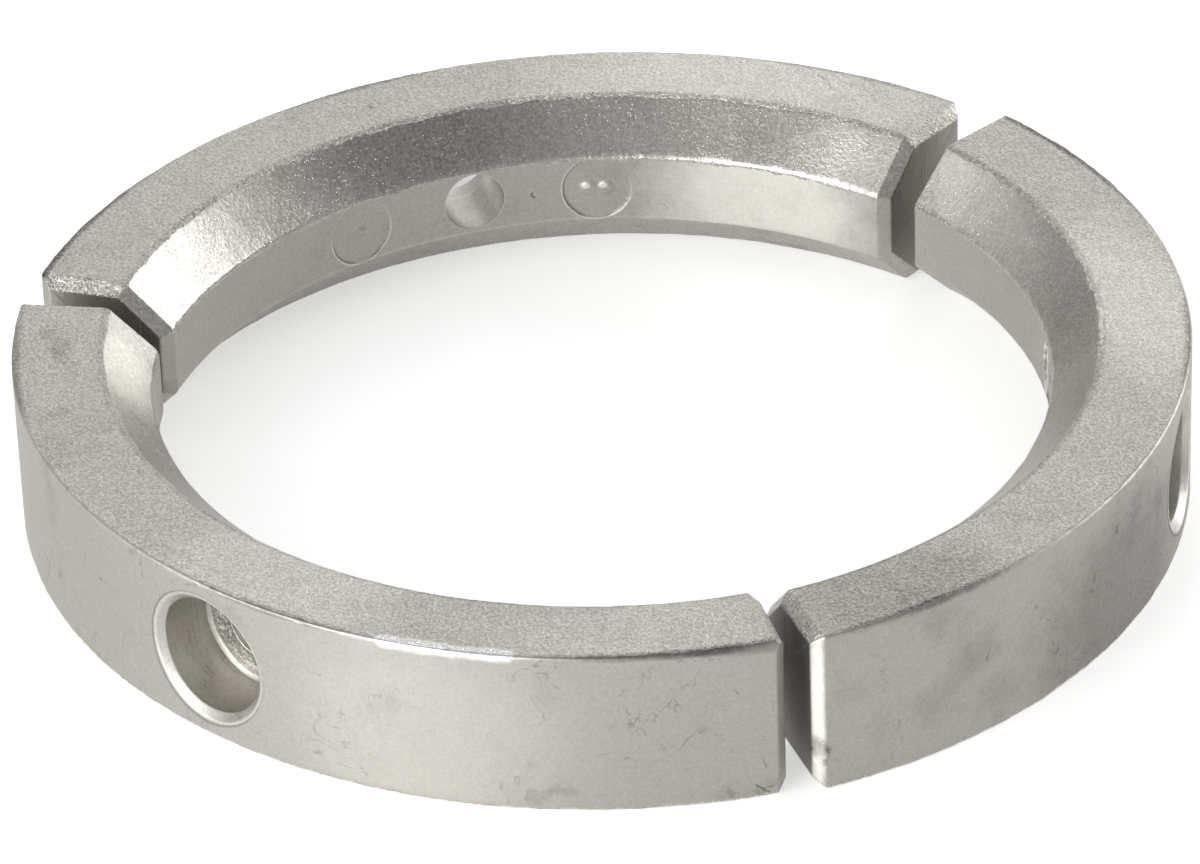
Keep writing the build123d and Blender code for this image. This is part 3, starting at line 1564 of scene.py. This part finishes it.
class Patch(Effect):
    """A part of the surface inside an egg shape, and the line round it."""

    name = "patch"
    vectors = ("Place", "Centre", "Reach")
    numbers = ("Width", "Ragged", "Uneven")
    outputs = ("Inside", "Rim")
    tear_size = 2.5  # of the noise that tears the border, in millimetres
    core = 0.3  # the share of the reach that is full

    def wire(self, graph: Graph, given: object) -> tuple:
        """Measure out from the centre in shares of the reach, as unevenly as the noise given says.

        Args:
            graph: The group's tree.
            given: The group's inputs, by name.

        Returns:
            The mask of the inside, and that of the line round it.
        """
        off = graph.vector("SUBTRACT", given["Place"], given["Centre"])
        off = graph.vector("DIVIDE", off, given["Reach"])
        uneven = graph.math("MULTIPLY", given["Uneven"], given["Ragged"])
        way = graph.math("ADD", graph.vector("LENGTH", off), uneven)
        from_rim = graph.math("ABSOLUTE", graph.math("SUBTRACT", way, 1.0))
        inside = graph.ramp(way, self.core, 1.0, 1.0, 0.0)
        return inside, graph.ramp(from_rim, 0.0, given["Width"], 1.0, 0.0)

    def lay(self, graph: Graph, place: object, mould: object, shades: tuple) -> list[Layer]:
        """Put a finish's shades into its material, all torn by the same noise.

        Args:
            graph: The material's tree.
            place: Object coordinates.
            mould: Mould coordinates.
            shades: The shades.

        Returns:
            A layer for each.
        """
        if not shades:
            return []
        uneven = {where: graph.uneven(where, self.tear_size * MM, 5.0) for where in (place, mould)}
        layers = []
        for shade in shades:
            where = mould if shade.in_mould else place
            egg = (metres(shade.centre), metres(shade.reach))
            inside, rim = self.place(graph, where, *egg, shade.rim, shade.ragged, uneven[where])
            layers.append(Layer(rim if shade.rim else inside, shade.tone, shade.roughness))
        return layers


@dataclass(frozen=True)
class ZincFinish:
    """Bare cast zinc, as one kind of surface of the casting shows it. Sizes are millimetres."""

    name: str
    light: tuple = (0.665, 0.645, 0.6)
    dark: tuple = (0.205, 0.197, 0.18)
    tone: float = 0.72
    roughness: float = 0.44
    grain_size: float = 0.3
    grain_depth: float = 0.06
    grain_shade: float = 0.3
    tarnish_size: float = 9.0
    tarnish_cover: float = 0.5
    tarnish: float = 0.12
    tarnish_roughness: float = 0.06
    hairlines: float = 0.0
    hairline_size: float = 6.0
    hairline_width: float = 0.06
    hairline_cover: float = 0.4
    hairline_depth: float = 0.008
    hairline_roughness: float = 0.05
    drag: float = 0.0
    drag_grain: tuple = (0.1, 7.0, 0.1)
    drag_cover: float = 0.5
    drag_depth: float = 0.004
    flecks: float = 0.0
    fleck_size: float = 0.32
    fleck_share: float = 0.1
    fleck_height: float = 0.3  # as a share of its size, for the brightest
    fleck_roughness: float = -0.2
    edge_wear: float = 0.2
    edge_wear_size: float = 0.8
    edge_wear_roughness: float = -0.08
    scars: tuple = ()
    shades: tuple = ()

    def build(self, effects: dict[str, Effect]) -> bpy.types.Material:
        """Make the material.

        Args:
            effects: The shared groups, by name.

        Returns:
            The material.
        """
        material = bpy.data.materials.new(self.name)
        material.use_nodes = True
        graph = Graph(material.node_tree)
        graph.tree.nodes.clear()
        place = graph.add("ShaderNodeTexCoord").outputs["Object"]
        mould = graph.add("ShaderNodeAttribute", attribute_name=MOULD_PLACE).outputs["Vector"]
        layers = self.metal(graph, effects, place, mould)
        layers += effects["scar"].lay(graph, place, self.scars)
        layers += effects["patch"].lay(graph, place, mould, self.shades)
        tone: object = self.tone
        rough: object = self.roughness
        relief: object = 0.0
        for layer in layers:
            tone = graph.plus(tone, layer.mask, layer.tone)
            rough = graph.plus(rough, layer.mask, layer.roughness)
            relief = graph.plus(relief, layer.mask, layer.height * MM)
        colour = graph.colour(tone, self.dark, self.light)
        bump = graph.add("ShaderNodeBump")
        graph.feed(bump.inputs["Distance"], 1.0)
        graph.feed(bump.inputs["Height"], relief)
        zinc = graph.add("ShaderNodeBsdfPrincipled")
        graph.feed(zinc.inputs["Base Color"], colour)
        graph.feed(zinc.inputs["Metallic"], 1.0)
        graph.feed(zinc.inputs["Roughness"], rough)
        graph.feed(zinc.inputs["Normal"], bump.outputs[0])
        graph.feed(graph.add("ShaderNodeOutputMaterial").inputs["Surface"], zinc.outputs[0])
        return material

    def metal(self, graph: Graph, effects: dict[str, Effect], place: object, mould: object) -> list[Layer]:
        """Put in what the whole surface has.

        Args:
            graph: The material's tree.
            effects: The shared groups, by name.
            place: Object coordinates.
            mould: Mould coordinates.

        Returns:
            The layers.
        """
        near_edge = graph.add("ShaderNodeAttribute", attribute_name="edge").outputs["Fac"]
        height, shade = effects["sand_grain"].place(graph, place, self.grain_size * MM)
        (dull,) = effects["tarnish"].place(graph, place, self.tarnish_size * MM, self.tarnish_cover)
        (worn,) = effects["edge_wear"].place(graph, place, near_edge, self.edge_wear_size * MM)
        layers = [
            # The grain's tone follows its height: partly the skin's own mottling, partly painted shade in its
            # pits and painted light on its ridges.
            Layer(graph.math("SUBTRACT", shade, 0.5), tone=self.grain_shade),
            Layer(height, height=self.grain_depth),
            Layer(dull, -self.tarnish, self.tarnish_roughness),
            Layer(worn, self.edge_wear, self.edge_wear_roughness),
        ]
        if self.hairlines:
            sizes = metres((self.hairline_size, self.hairline_width))
            (veins,) = effects["hairlines"].place(graph, place, *sizes, self.hairline_cover)
            layers.append(Layer(veins, -self.hairlines, self.hairline_roughness, -self.hairline_depth))
        if self.drag:
            (lines,) = effects["drag_lines"].place(graph, mould, metres(self.drag_grain), self.drag_cover)
            layers.append(Layer(lines, self.drag, height=-self.drag_depth))
        # The flecks' crystals and their bump are real. Their brighter tone is a painted glint.
        if self.flecks:
            (fleck,) = effects["flecks"].place(graph, place, self.fleck_size * MM, self.fleck_share)
            proud = self.fleck_height * self.fleck_size * self.flecks
            layers.append(Layer(fleck, self.flecks, self.fleck_roughness, proud))
        return layers


# Painted highlight: a broad white streak along the left casting's outer top edge.
EDGE_PAINTED_HIGHLIGHTS = (
    Streak((-32.6, -39.6, 15.6), (-28.2, -42.8, 15.6), width=0.9, tone=1.2, ragged=0.1, roughness=-0.2),
    Streak((-28.2, -42.8, 15.6), (-23.4, -45.6, 15.6), width=0.9, tone=1.2, ragged=0.1, roughness=-0.2),
)
# Painted highlight: a thin bright line along the right casting's shoulder, where its top meets the chamfer.
SHOULDER_PAINTED_HIGHLIGHTS = (
    Streak((43.9, -8.5, 15.6), (42.5, -13.4, 15.6), width=0.2, tone=0.7),
    Streak((42.5, -13.4, 15.6), (40.6, -18.2, 15.6), width=0.2, tone=0.6),
)
# Scratches, nicks and stains on the tops, and painted highlights.
TOP_SCARS_AND_HIGHLIGHTS = (
    *EDGE_PAINTED_HIGHLIGHTS,
    *SHOULDER_PAINTED_HIGHLIGHTS,
    Streak((33.2, 40.1, 15.7), (34.3, 34.5, 15.7), width=0.13, tone=-0.5, depth=0.05, ragged=0.25),
    Streak((-8.4, 47.7, 15.7), (-8.2, 47.4, 15.7), width=0.22, tone=-0.6, depth=0.08),
    Streak((-47.2, 18.9, 15.7), (-46.6, 15.0, 15.7), width=1.3, tone=-0.24, ragged=0.45),
    Streak((-47.6, 15.6, 15.7), (-46.5, 12.6, 15.7), width=0.8, tone=-0.16, ragged=0.5),
    # Painted highlight: a white band on the bevel of the back casting's left end.
    Streak((-45.7, 26.7, 15.2), (-39.0, 24.2, 15.2), width=0.45, tone=0.75, ragged=0.2),
    Streak((47.4, -10.1, 15.7), (49.0, -11.1, 15.7), width=0.1, tone=-0.4, depth=0.03),
    Streak((45.2, -1.4, 15.7), (46.6, -3.4, 15.7), width=0.16, tone=-0.5, depth=0.06, ragged=0.5),
    Streak((48.0, -3.6, 15.7), (50.9, -5.4, 15.7), width=0.08, tone=-0.4, depth=0.03, ragged=0.4),
    Streak((20.2, -48.2, 15.7), (21.6, -47.6, 15.7), width=0.3, tone=0.5, depth=0.05, ragged=0.6),
)
# Scratches and stains on the walls, and the painted edge highlight.
WALL_SCARS_AND_HIGHLIGHTS = (
    *EDGE_PAINTED_HIGHLIGHTS,
    Streak((37.5, -36.5, 5.6), (41.1, -32.5, 3.1), width=0.09, tone=-0.35, depth=0.02),
    Streak((36.5, -37.5, 3.9), (40.5, -33.1, 2.9), width=0.08, depth=0.02),
    Streak((5.2, -52.2, 4.2), (5.9, -52.1, 4.7), width=0.1, depth=0.02),
    Streak((-22.0, -46.6, 1.2), (-18.8, -48.0, 2.2), width=0.75, tone=-0.2, ragged=0.4),
    Streak((-4.2, -51.5, 1.8), (-1.9, -51.7, 0.0), width=0.1, tone=-0.55, depth=0.04, ragged=0.2),
    Streak((-49.5, -16.9, 3.7), (-49.1, -17.9, 2.7), width=0.1, tone=0.3, depth=0.02),
    Streak((-27.4, -43.7, 4.8), (-23.5, -45.9, 3.4), width=0.09, tone=-0.2, depth=0.01, ragged=0.4),
    Streak((-7.7, -51.0, 10.3), (-6.1, -51.3, 6.0), width=0.12, depth=0.01, ragged=0.5),
    Streak((-5.1, -51.4, 11.5), (-2.9, -51.6, 5.7), width=0.1, tone=-0.28, depth=0.01, ragged=0.5),
    Streak((-12.1, -50.1, 3.6), (-8.4, -50.9, 0.6), width=0.1, tone=-0.28, depth=0.01, ragged=0.5),
    Streak((-17.9, -48.4, 6.0), (-12.9, -49.9, 5.2), width=0.16, tone=-0.2, depth=0.01, ragged=0.6),
    Streak((-13.2, -49.8, 6.7), (-11.7, -50.2, 2.4), width=0.13, tone=-0.22, depth=0.01, ragged=0.6),
)
# Scratches on the chamfers, and the painted shoulder highlight.
CHAMFER_SCARS_AND_HIGHLIGHTS = (
    Streak((26.8, 31.4, 12.6), (30.5, 30.8, 14.6), width=0.07, tone=0.3, depth=0.01, ragged=0.2),
    Streak((31.2, 27.0, 12.4), (34.3, 25.8, 14.1), width=0.09, tone=0.3, depth=0.01, ragged=0.4),
    Streak((40.5, 14.3, 13.2), (42.2, 12.1, 14.2), width=0.1, depth=0.02),
    Streak((40.9, 12.7, 13.1), (41.8, 11.0, 13.6), width=0.1, depth=0.02),
    *SHOULDER_PAINTED_HIGHLIGHTS,
)
LAND_SCARS = (
    Streak((4.8, 39.6, 7.7), (5.0, 39.6, 7.4), width=0.18, tone=-0.6, depth=0.06),
    Streak((16.6, 36.2, 6.0), (17.0, 36.0, 5.9), width=0.16, tone=-0.5, depth=0.05),
    Streak((39.7, -6.2, 9.6), (39.7, -6.4, 4.2), width=0.7, tone=0.9),
)
# The first three are painted shade along the outer top edge. The fourth is a painted highlight down the outer
# edge of each low end's bevel. The last is a dark rough patch on the right casting's low end.
EDGE_PAINTED_LIGHT_AND_ROUGH_PATCH = (
    Shade((53.7, 8.0, 15.6), (0.7, 11.0, 0.6), tone=-0.5, in_mould=True),
    Shade((53.7, 46.0, 15.6), (0.7, 20.0, 0.6), tone=-0.75, in_mould=True),
    Shade((53.7, -42.0, 15.6), (0.7, 15.0, 0.6), tone=-0.5, in_mould=True),
    Shade((53.5, -53.0, 7.85), (0.9, 0.9, 14.0), tone=1.1, roughness=-0.16, in_mould=True),
    Shade((2.1, -52.1, 3.9), (1.1, 1.1, 2.0), tone=-0.95, roughness=0.1, ragged=2.4),
)
# Painted shade: a soft dark line along the shoulder, where the top meets the upper chamfer.
SHOULDER_PAINTED_SHADE = Shade((45.9, 0.0, 15.7), (0.5, 999.0, 0.5), tone=-0.4, ragged=0.9, in_mould=True)
TOP_SHADES = (
    Shade((10.0, -47.5, 15.7), (15.0, 9.0, 6.0), tone=-0.28),
    Shade((46.5, -10.0, 15.7), (9.0, 22.0, 6.0), tone=0.35),
    Shade((29.0, 41.0, 15.7), (30.0, 22.0, 6.0), tone=0.4),
    Shade((-39.0, -29.0, 15.7), (15.0, 15.0, 6.0), tone=0.3),
    Shade((-14.0, -46.0, 15.7), (18.0, 8.0, 6.0), tone=0.14),
    *EDGE_PAINTED_LIGHT_AND_ROUGH_PATCH,
    SHOULDER_PAINTED_SHADE,
)
WALL_SHADES = (
    Shade((18.5, -49.2, 8.3), (4.0, 3.0, 3.0), tone=-0.14, ragged=1.5),
    # Painted highlight: a broad brighter patch on the left casting's wall.
    Shade((-30.0, -42.0, 7.0), (19.0, 14.0, 14.0), tone=0.22),
    Shade((35.0, -38.5, 5.0), (19.0, 18.0, 14.0), tone=-0.42),
    Shade((54.0, -0.12, 7.75), (99.0, 6.5, 6.5), tone=-0.4, rim=0.03, ragged=0.03, in_mould=True),
    *EDGE_PAINTED_LIGHT_AND_ROUGH_PATCH,
)
CHAMFER_SHADES = (
    # Painted highlight on the left casting's chamfer near its back end. On the right casting's chamfer, a
    # painted highlight near its back end and painted shade on its middle.
    Shade((-42.0, 12.5, 13.5), (6.0, 8.0, 5.0), tone=0.55),
    Shade((41.0, 12.0, 13.4), (6.0, 17.0, 5.0), tone=0.42, ragged=1.0),
    Shade((42.0, -9.0, 13.5), (6.0, 9.0, 5.0), tone=-0.2, ragged=1.0),
    # Painted shade on the middle of the back casting's chamfer, a dark reflection.
    Shade((-5.0, 42.0, 14.0), (17.0, 8.0, 6.0), tone=-0.34),
    Shade((31.0, 28.0, 13.4), (6.0, 5.0, 3.0), tone=0.3, roughness=-0.05, ragged=1.6),
    Shade((27.0, 31.5, 13.2), (8.0, 7.0, 5.0), tone=-0.2),
    SHOULDER_PAINTED_SHADE,
)
# Painted highlights on the two beads of one pin mark, then a painted highlight on the back casting's land.
# The last four run round the pin marks: a dark line of painted shade and, just off it, a bright line of
# painted highlight. Along the mould, the land is as long as the wall.
LAND_SHADES = (
    Shade((41.4, -14.0, 8.15), (99.0, 0.75, 0.45), tone=0.9, roughness=-0.15, in_mould=True),
    Shade((41.4, -16.2, 8.15), (99.0, 0.75, 0.45), tone=0.9, roughness=-0.15, in_mould=True),
    Shade((26.0, 31.0, 7.0), (17.0, 12.0, 14.0), tone=0.7),
    Shade((41.4, 15.39, 7.85), (99.0, 4.17, 3.2), tone=-0.4, rim=0.045, ragged=0.08, in_mould=True),
    Shade((41.4, -15.39, 7.85), (99.0, 4.17, 3.2), tone=-0.4, rim=0.045, ragged=0.08, in_mould=True),
    Shade((41.4, 15.49, 7.8), (99.0, 4.3, 3.3), tone=0.7, rim=0.04, ragged=0.1, in_mould=True),
    Shade((41.4, -15.29, 7.8), (99.0, 4.3, 3.3), tone=0.7, rim=0.04, ragged=0.1, in_mould=True),
)
FINISHES = {
    Finish.SKIN: ZincFinish(
        "zinc_cast_skin",
        tone=0.87,
        grain_size=0.3,
        grain_depth=0.42,
        grain_shade=0.51,
        scars=TOP_SCARS_AND_HIGHLIGHTS,
        shades=TOP_SHADES,
    ),
    Finish.CHAMFER: ZincFinish(
        "zinc_chamfer",
        roughness=0.33,
        grain_depth=0.05,
        grain_shade=0.38,
        flecks=0.36,
        fleck_size=0.2,
        fleck_share=0.1,
        tarnish=0.16,
        tarnish_size=6.0,
        scars=CHAMFER_SCARS_AND_HIGHLIGHTS,
        shades=CHAMFER_SHADES,
    ),
    Finish.LAND: ZincFinish(
        "zinc_land",
        roughness=0.52,
        grain_depth=0.016,
        grain_shade=0.14,
        drag=-0.1,
        scars=LAND_SCARS,
        shades=LAND_SHADES,
    ),
    Finish.WALL: ZincFinish(
        "zinc_wall",
        roughness=0.52,
        grain_depth=0.016,
        grain_shade=0.12,
        tarnish=0.1,
        hairlines=0.32,
        hairline_size=8.0,
        hairline_width=0.09,
        hairline_cover=0.6,
        drag=-0.14,
        drag_grain=(0.12, 9.0, 0.12),
        scars=WALL_SCARS_AND_HIGHLIGHTS,
        shades=WALL_SHADES,
    ),
    Finish.SAWN: ZincFinish(
        "zinc_sawn_end",
        tone=0.42,
        roughness=0.44,
        grain_depth=0.01,
        grain_shade=0.1,
        drag=-0.35,
        drag_grain=(0.11, 1.0, 9.0),
        drag_depth=0.012,
    ),
    Finish.BORED: ZincFinish(
        "zinc_bored",
        tone=1.0,
        roughness=0.42,
        grain_depth=0.01,
        grain_shade=0.2,
        drag=-0.5,
        drag_grain=(0.2, 2.5, 2.5),
    ),
    Finish.ROUGH: ZincFinish(
        "zinc_rough_floor", roughness=0.38, grain_size=0.26, grain_depth=0.12, grain_shade=0.6
    ),
}


@dataclass(frozen=True)
class Lamp:
    """A soft box, aimed at the middle of the ring."""

    name: str
    azimuth: float  # from the front, to the right
    elevation: float
    wide: float  # as seen from the ring, in degrees
    tall: float
    brightness: float
    distance: float = 1.6

    def build(self) -> None:
        """Hang the lamp."""
        data = bpy.data.lights.new(self.name, "AREA")
        data.shape = "ELLIPSE"
        data.size = 2 * self.distance * math.tan(math.radians(self.wide / 2))
        data.size_y = 2 * self.distance * math.tan(math.radians(self.tall / 2))
        data.energy = self.brightness * math.pi * math.pi * data.size * data.size_y / 4
        lamp = bpy.data.objects.new(self.name, data)
        turn, rise = math.radians(self.azimuth), math.radians(self.elevation)
        back = Vector((math.sin(turn) * math.cos(rise), -math.cos(turn) * math.cos(rise), math.sin(rise)))
        lamp.location = back * self.distance
        lamp.rotation_euler = back.to_track_quat("Z", "Y").to_euler()
        lamp.visible_camera = False
        bpy.context.scene.collection.objects.link(lamp)


@dataclass(frozen=True)
class Studio:
    """The table, the lamps, the room and the camera."""

    table: float = 3.2
    table_colour: float = 0.9
    table_roughness: float = 0.35
    table_gloss: float = 0.8
    glow: float = 0.2  # what the table adds in reflections
    shown_glow: float = 0.48  # and to the camera
    # Painted shadow: a patch of the table just outside the back hole, where it keeps none of the glow shown
    # to the camera.
    shadow_place: tuple = (2.8, 53.5, 0.0)  # what shows through the back hole keeps none of that glow
    shadow_reach: tuple = (8.0, 7.0, 7.0)
    far: tuple = (0.25, 0.7)  # the ways out at which the table's shown glow starts to rise and is whole
    room: float = 0.41
    lamps: tuple = (
        Lamp("key", -64.6, 10.0, 56.0, 22.0, 5.1),
        Lamp("key_above", -66.6, 30.0, 50.0, 20.0, 1.8),
        Lamp("key_spot", -61.6, 38.0, 32.0, 28.0, 1.1),
        Lamp("left", -102.6, 40.0, 44.0, 24.0, 0.7),
        Lamp("right", 103.4, 20.0, 40.0, 30.0, 3.1),
        Lamp("back", 161.4, 14.0, 70.0, 16.0, 1.2),
        Lamp("back_above", 163.4, 33.0, 50.0, 22.0, 0.7),
        Lamp("front", -16.6, 12.0, 30.0, 24.0, 0.44),
    )
    camera_place: tuple = (-162.221, -541.440, 363.371)
    camera_aim: tuple = (1.706, 8.782, 0.0)
    camera_roll: float = -2.036
    camera_lens: float = 221.2

    def build(self) -> None:
        """Set it all up."""
        self.lay_table()
        for lamp in self.lamps:
            lamp.build()
        self.paint_room()
        self.set_camera()
        bpy.context.scene.view_settings.view_transform = "Standard"

    def lay_table(self) -> None:
        """A plain white table, much wider than the view."""
        mesh = bpy.data.meshes.new("table")
        half = self.table / 2
        corners = [(-half, -half, 0), (half, -half, 0), (half, half, 0), (-half, half, 0)]
        mesh.from_pydata(corners, [], [(0, 1, 2, 3)])
        mesh.materials.append(self.table_paint())
        table = bpy.data.objects.new("table", mesh)
        bpy.context.scene.collection.objects.link(table)

    def table_paint(self) -> bpy.types.Material:
        """Paint the table white: it glows a little in reflections, and more to the camera, apart from a patch
        of painted shadow behind the back hole.

        Returns:
            The paint.
        """
        material = bpy.data.materials.new("table_white")
        material.use_nodes = True
        graph = Graph(material.node_tree)
        paint = graph.tree.nodes["Principled BSDF"]
        paint.inputs["Base Color"].default_value = (self.table_colour,) * 3 + (1.0,)
        paint.inputs["Roughness"].default_value = self.table_roughness
        paint.inputs["Specular IOR Level"].default_value = self.table_gloss
        paint.inputs["Emission Color"].default_value = (1.0, 1.0, 1.0, 1.0)
        rays = graph.add("ShaderNodeLightPath").outputs
        place = graph.add("ShaderNodeTexCoord").outputs["Object"]
        off = graph.vector("SUBTRACT", place, metres(self.shadow_place))
        off = graph.vector("DIVIDE", off, metres(self.shadow_reach))
        # Painted shadow: no camera glow inside the patch behind the back hole.
        shown = graph.ramp(graph.vector("LENGTH", off), 0.5, 1.0, 0.0, self.shown_glow)
        far = graph.ramp(graph.vector("LENGTH", place), *self.far, 0.0, 1.0 - self.shown_glow)
        shown = graph.math("MULTIPLY", rays["Is Camera Ray"], graph.math("ADD", shown, far))
        graph.feed(paint.inputs["Emission Strength"], graph.plus(shown, rays["Is Glossy Ray"], self.glow))
        return material

    def paint_room(self) -> None:
        """An even dim room, which looks white straight on."""
        world = bpy.data.worlds.new("room")
        world.use_nodes = True
        graph = Graph(world.node_tree)
        shown = graph.add("ShaderNodeLightPath").outputs["Is Camera Ray"]
        background = graph.tree.nodes["Background"]
        graph.feed(background.inputs["Color"], (1.0, 1.0, 1.0, 1.0))
        graph.feed(background.inputs["Strength"], graph.plus(self.room, shown, 1.0 - self.room))
        bpy.context.scene.world = world

    def set_camera(self) -> None:
        """Stand the camera a little above the ring, in front of it and to the left."""
        data = bpy.data.cameras.new("camera")
        data.lens = self.camera_lens
        data.clip_start = 0.01
        camera = bpy.data.objects.new("camera", data)
        place, aim = Vector(self.camera_place) * MM, Vector(self.camera_aim) * MM
        turn = (aim - place).to_track_quat("-Z", "Y") @ Quaternion((0, 0, 1), math.radians(self.camera_roll))
        camera.location = place
        camera.rotation_euler = turn.to_euler()
        bpy.context.scene.collection.objects.link(camera)
        bpy.context.scene.camera = camera


def main() -> None:
    """Build the three castings and the studio."""
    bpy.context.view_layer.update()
    logging.basicConfig(level=logging.INFO, format="%(message)s")
    tree = CastSkin().build()
    kinds = (Grain, Tarnish, Hairlines, Drag, Flecks, EdgeWear, StreakLine, Patch)
    effects = {kind.name: kind() for kind in kinds}
    materials = {finish: FINISHES[finish].build(effects) for finish in Finish}
    castings = (
        Casting(Lie.of("segment_back"), seed=1),
        Casting(
            Lie.of("segment_left"),
            high_end=EndTrim(filed=0.9),
            seed=2,
            spots=(RoughSpot(from_end=106.3, radius=53.4, height=15.0, reach=0.8),),
        ),
        Casting(
            Lie.of("segment_right"),
            high_end=EndTrim(bevel=0.3),
            seed=3,
            spots=(RoughSpot(from_end=0.6, radius=53.5, height=4.0, reach=1.7),),
        ),
    )
    for casting in castings:
        piece = casting.build(tree, materials)
        bearing = math.degrees(casting.lie.bearing)
        log.info("%s: %d faces, bearing %.1f", piece.name, len(piece.data.polygons), bearing)
    Studio().build()
    log.info("studio: table, %d lamps, room and camera", len(Studio.lamps))


if __name__ == "__main__":
    main()
